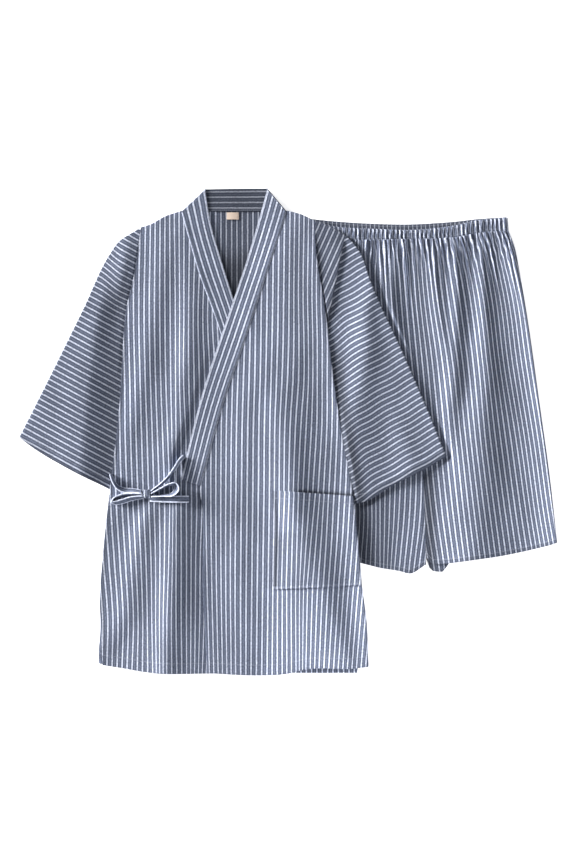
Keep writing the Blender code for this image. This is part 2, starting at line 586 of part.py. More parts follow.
def make_collar():
    """The collar band: from the over front's end to the shoulder crease, round the back neck and down again.

    At each crease the band turns over, so its outer face is on top at the fronts and underneath at the neck.
    """

    def under_level(x, y):
        at_crease = (CREASE_LEVEL - FRONT_LEVEL) * smooth((y - CREASE_START) / CREASE_RISE)
        return support(x, y) + FRONT_LEVEL + at_crease

    def over_level(x, y):
        return under_level(x, y) + (OVER_LEVEL - FRONT_LEVEL) * over_lift(x, y)

    left_rows = body_heights("left_edge")[: LAST_BAND_ROW + 1]
    right_rows = body_heights("right_edge")[: LAST_BAND_ROW + 1]
    over, over_low = band_rows(LEFT_BAND_SEAM, LEFT_BAND_EDGE, left_rows, over_level)
    under, under_low = band_rows(RIGHT_BAND_SEAM, RIGHT_BAND_EDGE, right_rows, under_level)
    outer_radius = (CREASE_LEVEL + COLLAR_WALL) / 2
    inner_radius = (CREASE_LEVEL - COLLAR_WALL) / 2
    over_crease = over[0] - [outer_radius, 0.0]
    under_crease = under[0] + [outer_radius, 0.0]
    over[0], under[0] = over_crease, under_crease
    outer, inner = [], []
    for grid, low in zip(over[::-1], over_low[::-1]):
        outer.append(np.column_stack([grid, low + COLLAR_WALL]))
        inner.append(np.column_stack([grid, low]))

    def turn(crease, side, angles):
        middle = support(crease[:, 0], crease[:, 1]) + outer_radius
        for angle in angles:
            for radius, rows_of in ((outer_radius, outer), (inner_radius, inner)):
                moved = crease + [side * radius * math.cos(angle), 0.0]
                rows_of.append(np.column_stack([moved, middle + radius * math.sin(angle)]))

    turn(over_crease, 1.0, FOLD_ANGLES)
    for share in np.linspace(0.0, 1.0, NECK_ROWS + 1):
        grid = over_crease * (1.0 - share) + under_crease * share
        floor = support(grid[:, 0], grid[:, 1])
        outer.append(np.column_stack([grid, floor]))
        inner.append(np.column_stack([grid, floor + COLLAR_WALL]))
    turn(under_crease, -1.0, FOLD_ANGLES[::-1])
    for grid, low in zip(under, under_low):
        outer.append(np.column_stack([grid, low + COLLAR_WALL]))
        inner.append(np.column_stack([grid, low]))
    return wall("collar", np.stack(outer), np.stack(inner))


def make_label():
    """The blank label, flat on the back panel's inside below the neck."""
    x = LABEL_MIDDLE[0] + LABEL_SIZE[0] * np.array([-0.5, 0.0, 0.5])
    y = LABEL_MIDDLE[1] + LABEL_SIZE[1] * np.array([0.5, -0.5])
    grid = np.stack(np.meshgrid(x, y), axis=-1)
    floor = support(grid[..., 0], grid[..., 1]) + CLOTH + SEAM_GAP
    high, low = lifted(grid, floor, LABEL_WALL)
    return wall("neck_label", high, low, CREAM)


def make_tie(name, points):
    """A strip of doubled cloth along a line over the right front, turned from flat towards its edge."""
    values = curve(points, np.linspace(0.0, 1.0, STEPS_PER_TIE_POINT * (len(points) - 1) + 1))
    middle, tilt, lift = values[:, :2], np.radians(values[:, 2]), values[:, 3]
    run = np.gradient(middle, axis=0)
    run /= np.linalg.norm(run, axis=1)[:, None]
    side = np.column_stack([-run[:, 1], run[:, 0]])
    reach = TIE_WIDTH / 2
    footprint = [middle + side * share * (reach * np.cos(tilt) + TIE_WALL)[:, None] for share in (-1, 0, 1)]
    floor = np.max([right_front_height(*spot.T) + CLOTH for spot in footprint], axis=0)
    centre = floor + TIE_CLEARANCE + lift + reach * np.sin(tilt) + TIE_WALL / 2 * np.cos(tilt)
    centre = np.column_stack([middle, centre])
    width = np.column_stack([side * np.cos(tilt)[:, None], np.sin(tilt)])
    depth = np.column_stack([-side * np.sin(tilt)[:, None], np.cos(tilt)])
    across = np.linspace(-reach, reach, 3)[None, :, None]
    sheet = centre[:, None] + width[:, None] * across
    return wall(name, sheet + depth[:, None] * TIE_WALL / 2, sheet - depth[:, None] * TIE_WALL / 2)


def make_knot():
    """The bow's knot: a short turned bead of cloth, flattened where it lies on the front."""
    height = right_front_height(*np.array(KNOT_MIDDLE)) + CLOTH + TIE_CLEARANCE
    angle = np.linspace(0.0, 2 * math.pi, KNOT_SIDES, endpoint=False)
    rings = np.array(KNOT_RINGS)[:, None]
    swell = np.array(KNOT_SWELL)[:, None]
    x = KNOT_MIDDLE[0] + rings * KNOT_SIZE[0] / 2 + 0.0 * angle
    y = KNOT_MIDDLE[1] + swell * np.cos(angle) * KNOT_SIZE[1] / 2
    z = height + KNOT_SIZE[2] / 2 + swell * np.sin(angle) * KNOT_SIZE[2] / 2
    outer = np.dstack([x, y, np.maximum(z, height)])
    y_inner = KNOT_MIDDLE[1] + KNOT_HOLE * np.cos(angle) * KNOT_SIZE[1] / 2 + 0.0 * rings
    z_inner = height + KNOT_SIZE[2] / 2 + KNOT_HOLE * np.sin(angle) * KNOT_SIZE[2] / 2 + 0.0 * rings
    inner = np.dstack([x, y_inner, z_inner])
    return wall("tie_knot", outer, inner, ring=True)


def gather_wave(share, x, y):
    """The height of the elastic's gathers, uneven in depth and spacing, at each share of the waist."""
    uneven = share + 0.004 * np.sin(2 * math.pi * 3 * share) + 0.002 * np.sin(2 * math.pi * 7 * share + 1.0)
    depth = 0.75 + 0.25 * np.sin(2 * math.pi * 5 * share + 0.5)
    wave = 0.5 - 0.5 * np.cos(2 * math.pi * WAIST_GATHERS * uneven)
    pressed = PRESSED_SHARE + (1.0 - PRESSED_SHARE) * out_from_under(x, y)
    return GATHER_HEIGHT * depth * wave * pressed


def strip_row(row, top, shares, inset):
    """Points across the waistband, at a share of the way up from its seam, set in at both ends."""
    points = (curve(WAIST_SEAM, shares) + [0.0, SEAM_GAP]) * (1.0 - row) + curve(top, shares) * row
    return points + np.array([inset, 0.0]) * (1.0 - 2.0 * shares[:, None])


def make_waistband():
    """The waistband: a flat ring with a gathered front, folded at both ends and flat underneath."""
    radius = CLOTH + LAYER_GAP / 2
    inner_radius = LAYER_GAP / 2
    front_share = np.linspace(0.0, 1.0, WAIST_GATHERS * POINTS_PER_GATHER + 1)
    back_share = np.linspace(1.0, 0.0, WAIST_BACK_COLUMNS + 1)
    outer, inner = [], []
    for row in (0.0, 0.5, 1.0):
        front = strip_row(row, WAIST_FRONT_TOP, front_share, radius)
        back = strip_row(row, WAIST_BACK_TOP, back_share, radius)
        ends = smooth(front_share / WAIST_END_SHARE) * smooth((1.0 - front_share) / WAIST_END_SHARE)
        top = 2 * CLOTH + LAYER_GAP + ends * gather_wave(front_share, front[:, 0], front[:, 1])
        turns = {}
        for side, hinge in ((1.0, (front[-1] + back[0]) / 2), (-1.0, (front[0] + back[-1]) / 2)):
            angles = FOLD_ANGLES * side
            turns[side] = [
                np.column_stack([
                    hinge[0] + side * reach * np.cos(angles),
                    np.full(len(angles), hinge[1]),
                    radius + reach * np.sin(angles),
                ])
                for reach in (radius, inner_radius)
            ]
        outer.append(np.vstack([
            np.column_stack([front, top]),
            turns[1.0][0],
            np.column_stack([back, np.zeros(len(back))]),
            turns[-1.0][0],
        ]))
        inner.append(np.vstack([
            np.column_stack([front, top - CLOTH]),
            turns[1.0][1],
            np.column_stack([back, np.full(len(back), CLOTH)]),
            turns[-1.0][1],
        ]))
    return wall("waistband", np.stack(outer), np.stack(inner), ring=True)


def make_leg(name, inseam, side, hem, folds, back_shift=None):
    """One leg as a tube laid flat, from the centre seam and inseam to its folded side, gathered at its top."""
    rows = np.array(LEG_ROW_SHARES)
    seam = at_heights(inseam, inseam[0][1] + rows * (inseam[-1][1] - inseam[0][1]))
    edge = at_heights(side, side[0][1] + rows * (side[-1][1] - side[0][1]))
    seam = inward(seam, math.copysign(SEAM_GAP, edge[0, 0] - seam[0, 0]))
    shares = np.linspace(0.0, 1.0, WAIST_GATHERS + 1)
    number = np.arange(len(shares))
    crest = (number % 2) * (0.8 + 0.2 * np.sin(1.7 * number))

    def relief(x, y, share):
        down = (seam[0, 1] - y) / GATHER_REACH
        gathered = GATHER_HEIGHT * crest * (1.0 - smooth(down))
        seam_ease, fold_ease = LEG_EASE
        ends = smooth(share / seam_ease) * smooth((1.0 - share) / fold_ease)
        low = PRESSED_SHARE + (1.0 - PRESSED_SHARE) * out_from_under(x, y)
        return ends * low * (gathered + ridges(x, y, folds) * smooth(down + LEG_FOLD_LEAD))

    back_shares = np.linspace(0.0, 1.0, LEG_BACK_COLUMNS + 1)
    piece = folded_tube(name, seam, edge, shares, back_shares, relief, surface, back_shift)
    bend_row(piece, len(rows), 0, WAIST_SEAM, -SEAM_GAP / 2)
    bend_row(piece, len(rows), -1, hem)


def make_shorts():
    """The waistband and the two legs, which meet at the centre seam."""

    def back_hem_drop(shares):
        drop = BACK_HEM_DROP * (1.0 - smooth((shares - BACK_HEM_FULL) / BACK_HEM_FADE))
        return np.column_stack([np.zeros(len(shares)), -drop])

    make_waistband()
    make_leg("right_leg", RIGHT_INSEAM, RIGHT_LEG_SIDE, RIGHT_LEG_HEM, RIGHT_LEG_FOLDS)
    make_leg("left_leg", LEFT_INSEAM, LEFT_LEG_SIDE, LEFT_LEG_HEM, LEFT_LEG_FOLDS, back_hem_drop)


def make_top():
    """The wrap top, from the back panel up."""
    make_back_panel()
    right_rows = body_heights("right_side")[: LAST_BAND_ROW + 1]
    left_rows = np.append(body_heights("left_side")[: LAST_BAND_ROW + 1], LEFT_UNDERARM)
    make_sleeve("right_sleeve", RIGHT_SIDE, right_rows, 0.15, RIGHT_SLEEVE_FOLD, RIGHT_CUFF, RIGHT_SLEEVE_FOLDS)
    make_sleeve("left_sleeve", LEFT_SIDE, left_rows, 0.10, LEFT_SLEEVE_FOLD, LEFT_CUFF, LEFT_SLEEVE_FOLDS)
    make_right_front()
    make_left_front()
    make_collar()
    make_label()
    for name, points in (
        ("tie_side", SIDE_TIE),
        ("tie_band", BAND_TIE),
        ("bow_right_loop", RIGHT_LOOP),
        ("bow_left_loop", LEFT_LOOP),
        ("bow_front_end", FRONT_END),
        ("bow_back_end", BACK_END),
    ):
        make_tie(name, points)
    make_knot()


for item in list(bpy.data.objects):
    bpy.data.objects.remove(item, do_unlink=True)
make_shorts()
make_top()
for item in bpy.data.objects:
    item.data.transform(Matrix.Translation((-MIDDLE[0], -MIDDLE[1], 0.0)))
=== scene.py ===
"""The looks of the kimono pajama set: fine cloth shells over its solids, striped cotton, floor and light.

It is laid out as a Blender add-on and run as a script. Metres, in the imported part's frame. Tables are in
millimetres on the page, whose origin lies MIDDLE away from the part's own.
"""

from collections import namedtuple
import math

import bpy
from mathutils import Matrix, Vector
import numpy as np


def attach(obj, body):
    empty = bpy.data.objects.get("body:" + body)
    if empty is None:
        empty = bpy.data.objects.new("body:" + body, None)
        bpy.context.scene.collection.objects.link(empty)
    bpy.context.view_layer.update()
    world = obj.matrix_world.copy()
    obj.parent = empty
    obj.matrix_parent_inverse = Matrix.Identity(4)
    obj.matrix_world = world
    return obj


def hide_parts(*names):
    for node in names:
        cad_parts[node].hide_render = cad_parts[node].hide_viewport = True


bl_info = {
    "name": "Kimono Pajama Set",
    "version": (1, 0, 0),
    "blender": (4, 5, 0),
    "location": "View3D > Sidebar > Pajama Set",
    "description": "Builds a flat-laid wrap top and gathered shorts of striped cotton over their solids",
    "category": "Object",
}

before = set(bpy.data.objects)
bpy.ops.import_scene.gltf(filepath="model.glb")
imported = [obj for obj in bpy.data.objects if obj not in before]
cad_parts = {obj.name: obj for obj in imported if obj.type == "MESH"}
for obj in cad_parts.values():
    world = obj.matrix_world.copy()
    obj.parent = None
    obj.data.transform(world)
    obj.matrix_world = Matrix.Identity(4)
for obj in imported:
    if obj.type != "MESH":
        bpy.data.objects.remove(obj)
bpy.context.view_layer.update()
MIDDLE = (0.0005, 0.0010)


def mm(*rows):
    """Rows that are written in millimetres, in metres."""
    return [tuple(value / 1000.0 for value in row) for row in rows]


def tie_line(*rows):
    """Rows of x, y, tilt in degrees and lift, with the lengths turned from millimetres into metres."""
    return [(x / 1000.0, y / 1000.0, tilt, lift / 1000.0) for x, y, tilt, lift in rows]


# Walls and gaps of the solids that the cloth lies on
CLOTH = 0.0015
BAND_WALL = 0.0024
TIE_WALL = 0.0016
LAYER_GAP = 0.0004
PANEL_GAP = 0.0006
SEAM_GAP = 0.0004
FRONT_LEVEL = CLOTH + PANEL_GAP
CREASE_LEVEL = BAND_WALL + LAYER_GAP
OVER_LEVEL = FRONT_LEVEL + BAND_WALL + PANEL_GAP
SHORTS_STACK = 0.0058
UNEVENNESS = 0.0012  # how far soft cloth rises and falls between its creases
TURN_ANGLES = np.radians(np.linspace(67.5, -67.5, 7))  # steps round a folded edge, from its upper layer down
CURVE_STEPS = 400
SIDE_RAMP = 0.120
HEM_RAMP = 0.160
STACK_MARGIN = 0.006
FOLD_EASE = 0.012
WRAP_START, WRAP_RISE, WRAP_EASE = 0.345, 0.100, 0.050
CREASE_START, CREASE_RISE = 0.330, 0.050

# The top's edges, each a smooth curve through a few (x, y) points from top to bottom
RIGHT_SIDE = mm((-264, 369), (-278, 275), (-289, 228), (-298, 117), (-303, 42), (-320, -102), (-333, -226),
    (-338, -310), (-335, -355), (-333, -418))
LEFT_SIDE = mm((48, 380), (49, 339), (66, 224), (85, 70), (98, -11), (114, -95), (125, -195), (132, -274),
    (140, -335), (144, -420))
BACK_RIGHT_SIDE = RIGHT_SIDE[:8] + mm((-337, -345), (-342, -415))
BACK_LEFT_SIDE = LEFT_SIDE[:8] + mm((132, -335), (124, -432))
RIGHT_BAND_SEAM = mm((-191, 398.5), (-177, 348), (-159, 287), (-132, 214), (-96, 101), (-48, -64),
    (-40, -95))
LEFT_BAND_SEAM = mm((-3, 398.5), (-15, 359), (-37, 292), (-78, 166), (-120, 43), (-149, -64), (-157, -95))
RIGHT_BAND_EDGE = mm((-150, 437), (-139, 373), (-120, 307), (-98, 237), (-39, 55), (-5, -83))
LEFT_BAND_EDGE = mm((-36, 438), (-54, 373), (-77, 297), (-98, 235), (-157, 55), (-191, -83))
RIGHT_FRONT_EDGE = mm((-40, -95), (-43, -258), (-50, -431))
LEFT_FRONT_EDGE = mm((-157, -95), (-152, -150), (-153, -258), (-145, -432))
RIGHT_SLEEVE_FOLD = mm((-272, 365), (-307, 341), (-319, 324), (-369, 221), (-429, 99), (-483, -8))
LEFT_SLEEVE_FOLD = mm((58, 379), (85, 366), (117, 342), (131, 323), (148, 276), (215, 127), (267, 4),
    (285, -42))

# Edges that run across, as (x, y) points from the wearer's right to left
RIGHT_SHOULDER = mm((-264, 369), (-250, 373), (-220, 389), (-191, 398.5))
LEFT_SHOULDER = mm((-3, 398.5), (22, 392), (48, 380))
RIGHT_HEM = mm((-333, -418), (-299, -423), (-258, -430), (-146, -433), (-50, -431))
LEFT_HEM = mm((-145, -432), (-50, -436), (-9, -434), (38, -424), (115, -423), (144, -420))
BACK_HEM = mm((-342, -415), (-248, -424), (-122, -429), (28, -432), (124, -432))
RIGHT_CUFF = mm((-483, -8), (-459, -26), (-399, -62), (-320, -102))
LEFT_CUFF = mm((117, -128), (138, -123), (188, -94), (244, -66), (285, -42))

# Rows of the body, as in the solids: the height at the right side, at both inner edges and at the left side
BodyRow = namedtuple("BodyRow", "right_side right_edge left_edge left_side")
BODY_ROWS = [BodyRow(*row) for row in mm((369, 398.5, 398.5, 380), (345, 366, 362, 352),
    (310, 325, 320, 312), (262, 272, 270, 262), (210, 217, 214, 205), (155, 160, 158, 150),
    (100, 105, 103, 95), (45, 50, 48, 40), (-10, -2, -5, -15), (-60, -52, -53, -70), (-102, -95, -95, -115),
    (-150, -145, -143, -155), (-200, -195, -191, -195), (-250, -245, -240, -235), (-300, -297, -288, -273.5),
    (-345, -345, -340, -325), (-382, -390, -388, -372), (-418, -431, -432, -420))]
LAST_BAND_ROW = 10
LAST_POCKET_ROW = 14
POCKET_SHARES = (0.473, 0.440)
LEFT_UNDERARM = -0.128
FINE = 14  # fine rows of cloth to each row of the body's table
BAND_RISE = 0.012
BAND_TURN_ROWS = 3
NECK_ROWS = 49
BACK_COLUMNS = 111
RIGHT_FRONT_COLUMNS = 81
POCKET_COLUMN, POCKET_COLUMNS = 40, 46  # the over front's columns up to the pocket's edge, and from there on
POCKET_OPENING = 0.0020
RIGHT_SLEEVE_COLUMNS, LEFT_SLEEVE_COLUMNS = 66, 90

# Shorts
WAIST_SEAM = mm((36, 348), (137, 346), (228, 348), (275, 349), (309, 352), (337, 358), (397, 363))
WAIST_FRONT_TOP = mm((36, 379), (94, 368.5), (159, 365.5), (220, 363.5), (261, 366), (302, 372), (337, 380),
    (395, 386))
WAIST_BACK_TOP = mm((36, 384), (77, 380), (159, 375), (220, 374), (261, 376), (302, 379), (337, 383),
    (395, 387))
RIGHT_LEG_SIDE = mm((36, 348), (29, 184), (20, -32), (16, -222))
LEFT_LEG_SIDE = mm((397, 363), (407, 336), (416, 292), (427, 228), (452, 55), (470, -75), (484, -197))
CENTRE_SEAM = mm((209, 347), (224, 184), (240, 22), (245, -68))
INSEAM = CENTRE_SEAM[:3] + mm((243, -68), (246, -136), (248, -237))
RIGHT_LEG_HEM = mm((16, -222), (130, -234), (167, -243), (202, -249), (218, -253), (248, -237))
LEFT_LEG_HEM = mm((251, -225), (259, -234), (272, -236), (293, -234), (329, -229), (386, -221), (443, -209),
    (473, -201), (484, -197))
LEG_ROWS = 150
INSEAM_GAP = 0.0001
GATHER_REACH = 0.16
PRESSED_SHARE = 0.2
UNDER_MARGIN = 0.003
UNDER_EASE = 0.010
BACK_HEM_DROP = 0.014
BACK_HEM_START, BACK_HEM_END = 0.030, 0.140
BACK_HEM_ROWS = 12
SHORTS_LEFT_OF = (0.036, 0.033)

NECK_DEPTH = 0.345  # where the painted shade of the neck's hollow starts
LABEL_MIDDLE = (-0.0992, 0.3895)
LABEL_SIZE = (0.0212, 0.0122)
RIBBON_WALL = 0.0007
RIB = 0.0006

# Ties: a strip's middle line, with its tilt from flat to on edge and its lift off the cloth
TIE_WIDTH = 0.0112
SIDE_TIE = tie_line((-318.2, -75.5, -72, 0), (-314, -87, -68, 0), (-307, -97.5, -62, 0.4),
    (-295, -103.5, -44, 1), (-280, -104.5, -48, 1.2), (-264, -106.4, -60, 1.2))
BAND_TIE = tie_line((-187.2, -43, 118, 0), (-193.5, -49, 115, 0.6), (-203, -64, 112, 2.4),
    (-215, -80.5, 112, 2.6), (-230, -94.5, 108, 1.2), (-244.8, -104.8, 100, 0.6))
RIGHT_LOOP = tie_line((-261.2, -111.8, 108, 0), (-280, -111.8, 118, 0), (-300, -114, 120, 0),
    (-313, -119, 100, 0), (-317.2, -124, 80, 0), (-311, -126.2, 60, 0), (-298, -123.8, 50, 0.6),
    (-280, -118.5, 52, 1.2), (-261.2, -116, 66, 1.2))
LEFT_LOOP = tie_line((-244.8, -109.6, 84, 2.6), (-230, -102, 80, 3.6), (-213, -93.5, 74, 4),
    (-202, -93, 60, 3.6), (-199.4, -101, 46, 3.2), (-206, -110, 58, 3), (-226, -113, 76, 2.8),
    (-244.8, -114.5, 80, 2.6))
FRONT_END = tie_line((-247, -118, -8, 4), (-225, -119.2, -6, 3.6), (-203, -119.6, -6, 3),
    (-179, -119.6, -4, 2))
BACK_END = tie_line((-208.2, -72.2, 24, 1), (-207.8, -81, 24, 1), (-207.8, -90, 20, 1))
TIE_STEPS = 12
TIE_PAINTED_LIGHT = -0.35  # painted light: the ties are pressed smooth, and painted paler than the body's cloth
TIE_CLEARANCE = 0.0005
KNOT_MIDDLE = (-0.2530, -0.1104)
KNOT_SIZE = (0.0126, 0.0165, 0.0135)

# Folds of the cloth. Each is a line of points down its crest: x, y, height, and how far it spreads to its
# right and to its left
RIGHT_FRONT_FOLDS = [
    mm((-225, 379, 0, 18, 18), (-229, 337, 1.4, 18, 20), (-234, 274, 2.4, 20, 22), (-245, 202, 3.1, 20, 23),
       (-256, 148, 3.4, 20, 25), (-265, 95, 2.9, 20, 23), (-274, 32, 2.2, 18, 20), (-283, -13, 1.2, 18, 14),
       (-288, -68, 0, 18, 14)),
    mm((-193, 337, 0, 16, 20), (-184, 283, 1.9, 16, 22), (-182, 238, 3.4, 18, 25), (-182, 167, 5.3, 20, 27),
       (-185, 113, 5.5, 20, 27), (-193, 58, 4.6, 18, 27), (-200, 4, 4.1, 18, 29), (-211, -35, 4.6, 22, 32),
       (-203, -85, 5.3, 22, 29), (-200, -131, 6.2, 22, 25), (-203, -175, 6.7, 22, 25),
       (-209, -247, 6.7, 20, 27), (-214, -320, 6.2, 18, 27), (-220, -392, 6, 20, 27),
       (-221, -455, 5.8, 20, 27)),
    mm((-234, -103, 0, 14, 29), (-248, -136, 4.1, 16, 25), (-261, -175, 5.5, 18, 25),
       (-268, -211, 5.8, 20, 25), (-275, -247, 5.8, 22, 29), (-283, -283, 5, 22, 29),
       (-290, -320, 4.1, 22, 27), (-304, -355, 2.6, 22, 22), (-322, -395, 0.7, 18, 14),
       (-331, -424, 0, 18, 14)),
]
BODY_FOLDS = [
    mm((-187, -68, 0, 54, 36), (-193, -121, 2.6, 54, 40), (-198, -194, 4.1, 58, 43), (-202, -266, 5, 61, 45),
       (-205, -337, 5.8, 65, 47), (-207, -455, 6.2, 68, 50)),
]
LEFT_FRONT_FOLDS = [
    mm((-13, 379, 0, 90, 22), (-11, 337, 2.2, 99, 36), (-7, 274, 3.6, 108, 43), (-5, 202, 4.6, 108, 47),
       (-4, 131, 5, 79, 47), (-4, 58, 4.8, 54, 43), (-4, 4, 5.8, 45, 40), (2, -49, 7, 41, 38),
       (9, -95, 8.2, 38, 36), (16, -139, 8.4, 32, 36), (25, -175, 9.1, 32, 40), (41, -229, 10.8, 40, 43),
       (58, -283, 13, 65, 40), (77, -337, 14.4, 76, 36), (97, -392, 15.1, 83, 32),
       (115, -455, 15.1, 90, 32)),
    mm((-68, 148, 0, 32, 22), (-72, 85, 1.9, 32, 22), (-76, 4, 2.6, 32, 22), (-79, -68, 2.6, 32, 22),
       (-83, -139, 2.3, 29, 22), (-86, -247, 2.2, 25, 22), (-86, -373, 1.4, 25, 23),
       (-88, -455, 1.4, 25, 23)),
    mm((41, 361, 0, 14, 14), (49, 318, 1.7, 14, 14), (56, 257, 2.3, 14, 14), (67, 194, 2.8, 16, 13),
       (77, 131, 2.6, 16, 13), (88, 68, 2.3, 16, 13), (95, 13, 1.9, 16, 11), (103, -32, 1.4, 16, 9),
       (110, -76, 1.9, 16, 11), (115, -121, 3.8, 18, 25), (122, -184, 5.3, 20, 25), (133, -247, 7.2, 22, 22),
       (140, -320, 9.6, 23, 16), (144, -373, 10.6, 25, 14), (148, -455, 10.8, 25, 14)),
]
RIGHT_SLEEVE_FOLDS = [
    mm((-288, 361, 0, 14, 14), (-290, 337, 2.2, 16, 16), (-295, 301, 3.1, 16, 16), (-301, 266, 2.4, 14, 14),
       (-304, 229, 0, 14, 14)),
    mm((-324, 307, 0, 216, 22), (-331, 271, 3.1, 234, 22), (-340, 238, 5, 270, 23),
       (-347, 202, 6.7, 270, 25), (-353, 167, 8.2, 270, 27), (-358, 121, 9.5, 270, 29),
       (-364, 76, 10.3, 270, 31), (-369, 22, 10.8, 270, 31), (-374, -32, 11, 270, 31),
       (-378, -76, 11, 270, 31), (-380, -131, 11, 270, 31)),
]
LEFT_SLEEVE_FOLDS = [
    mm((149, 307, 0, 18, 14), (148, 257, 4.3, 22, 16), (142, 221, 5.5, 23, 18), (140, 184, 6.2, 25, 20),
       (139, 148, 6.5, 27, 22), (135, 113, 6.2, 29, 25), (130, 76, 6, 29, 29), (122, 41, 6.2, 27, 34),
       (112, 4, 6.5, 23, 40), (103, -32, 6.7, 22, 47), (97, -68, 7.2, 22, 50), (94, -113, 7.7, 22, 54)),
    mm((185, 58, 0, 18, 14), (194, 22, 1, 18, 14), (207, -13, 1.9, 25, 18), (220, -41, 2.6, 29, 22),
       (227, -85, 2.9, 29, 22)),
    mm((124, 361, 0, 14, 9), (140, 307, 1, 14, 11), (160, 238, 1.4, 14, 11), (193, 167, 1.7, 14, 13),
       (227, 95, 1.4, 14, 14), (259, 22, 1.2, 14, 16), (281, -28, 1, 14, 18), (288, -58, 0.7, 14, 18)),
]
SHORTS_FOLDS = [
    mm((198, 354, 0, 18, 14), (193, 329, 1.9, 20, 14), (187, 292, 3.6, 22, 14), (185, 257, 5.5, 23, 14),
       (187, 221, 7, 23, 13), (194, 184, 7.2, 22, 13), (205, 148, 7.2, 18, 13), (220, 103, 5.8, 14, 13),
       (238, 58, 3.6, 13, 14), (256, 22, 2.2, 13, 14), (274, -13, 1.4, 13, 14), (288, -46, 0, 13, 14)),
    mm((265, 350, 0, 14, 11), (265, 320, 2.4, 14, 13), (265, 283, 2.9, 14, 14), (268, 238, 3.6, 14, 16),
       (275, 184, 4.6, 16, 16), (286, 145, 5.5, 16, 18), (292, 76, 6.2, 16, 20), (290, 41, 6.2, 16, 20),
       (292, 4, 6, 16, 20), (299, -32, 4.1, 16, 22), (306, -68, 2.2, 16, 22), (310, -103, 0, 16, 22)),
    mm((302, 357, 0, 13, 9), (302, 329, 2.4, 14, 9), (304, 274, 4.3, 14, 11), (304, 221, 5.8, 14, 13),
       (304, 167, 6.2, 14, 14), (304, 113, 4.1, 14, 14), (302, 58, 1.4, 14, 13), (302, 22, 0, 14, 13)),
    mm((347, 350, 0, 11, 11), (347, 320, 2.2, 11, 11), (349, 289, 3.8, 13, 11), (351, 257, 5.3, 13, 13),
       (353, 221, 6, 14, 14), (355, 184, 7, 18, 16), (355, 131, 8.2, 29, 22), (355, 76, 9.6, 34, 27),
       (351, 41, 10.6, 38, 32), (347, 4, 11.3, 41, 36), (344, -58, 11.8, 45, 41), (338, -103, 12, 47, 45),
       (335, -139, 12, 47, 45), (335, -229, 12, 47, 45)),
    mm((398, 361, 0, 18, 22), (405, 329, 2.4, 18, 22), (421, 283, 5.3, 22, 23), (432, 238, 7.2, 23, 23),
       (443, 184, 8.4, 25, 22), (455, 113, 8.9, 27, 22), (466, 41, 8.9, 27, 22), (475, -32, 9.1, 29, 25),
       (484, -103, 9.1, 31, 31), (491, -175, 8.9, 32, 34), (495, -229, 8.9, 32, 34)),
    mm((166, -53, 0, 54, 18), (162, -85, 2.9, 54, 20), (160, -158, 3.8, 54, 22), (160, -257, 3.8, 54, 22)),
]
PLEAT = ((0.100, 0.341), (0.068, 0.176))  # the left sleeve's tuck: its edge, from the shoulder to the armhole
PLEAT_RISE = 0.0036
PLEAT_DROP = 0.0035

# Stripes: chosen stripes by their number, and rows of a height and the x where each of them passes it
Stripes = namedtuple("Stripes", "numbers rows")
RIGHT_FRONT_STRIPES = Stripes((-4, 0, 4, 8, 10, 12, 15), mm(
    (355.5, -337, -297, -256.5, -221.4, -204.1, -187.4, -155.9),
    (220.5, -334, -297, -258.8, -221.4, -202.5, -187.2, -161.6),
    (76.5, -332, -293.6, -256.1, -219.2, -202, -187.4, -159.1),
    (4.5, -331, -293, -253.8, -216.5, -201.4, -184, -159.3),
    (-130.5, -329.2, -288.4, -250, -212.2, -201.2, -182.7, -154.8),
    (-229.5, -322.4, -282.6, -246.1, -214, -201.1, -182.1, -157.9),
    (-337.5, -314.8, -277.7, -244.6, -217.4, -201.1, -182.3, -158.8),
    (-416.7, -316.4, -280.1, -243, -217.8, -199.8, -182, -160.7),
))
LEFT_FRONT_STRIPES = Stripes((0, 6, 9, 12, 15, 18, 21, 24, 27, 33), mm(
    (373.5, -141, -86, -56.5, -26, 3.4, 28.6, 53, 78, 102, 150),
    (238.5, -143, -86.5, -58, -27.4, 2, 27.2, 51, 76, 100, 148),
    (166.5, -145, -87.5, -58.7, -28.6, 1.3, 28.6, 52.4, 79.5, 106, 158),
    (94.5, -146, -90.2, -59.8, -30.4, -1.1, 28.8, 52.4, 79.4, 107, 160),
    (22.5, -147, -92.3, -61.9, -32.4, -5.4, 23.8, 52, 79.2, 107, 162),
    (-89.1, -147.8, -93.6, -63, -33.1, -7.2, 18.4, 45.4, 74.3, 104, 162),
    (-301.5, -144.7, -95.2, -65.3, -36, -10.3, 13.7, 34.4, 60.8, 89.8, 141.3),
    (-400.5, -142, -94.5, -66.2, -37.3, -10.4, 14.4, 32.4, 56.5, 83.2, 132.8),
))
POCKET_STRIPES = Stripes((13, 15, 18, 21, 24, 27, 30), mm(
    (-139.5, -24.8, -7.2, 17.8, 46.4, 71.3, 100.8, 128),
    (-193.5, -25.6, -9.4, 16.2, 41.2, 68.6, 97.6, 125),
    (-247.5, -26.6, -11, 14.8, 36.4, 65, 93.2, 121),
))
LEFT_LEG_STRIPES = Stripes((0, 6, 12, 18, 24), mm(
    (343, 215.1, 257.4, 308.7, 354.2, 394.2),
    (238.5, 222.3, 268.4, 328.1, 374.4, 419),
    (130.5, 232.2, 285.8, 341.3, 387.2, 435.1),
    (-13.5, 244.8, 301.7, 354.4, 410.2, 457.4),
    (-157.5, 259.6, 317, 373.3, 430.4, 477.2),
    (-229.5, 270, 325.8, 383.4, 441.9, 490),
))
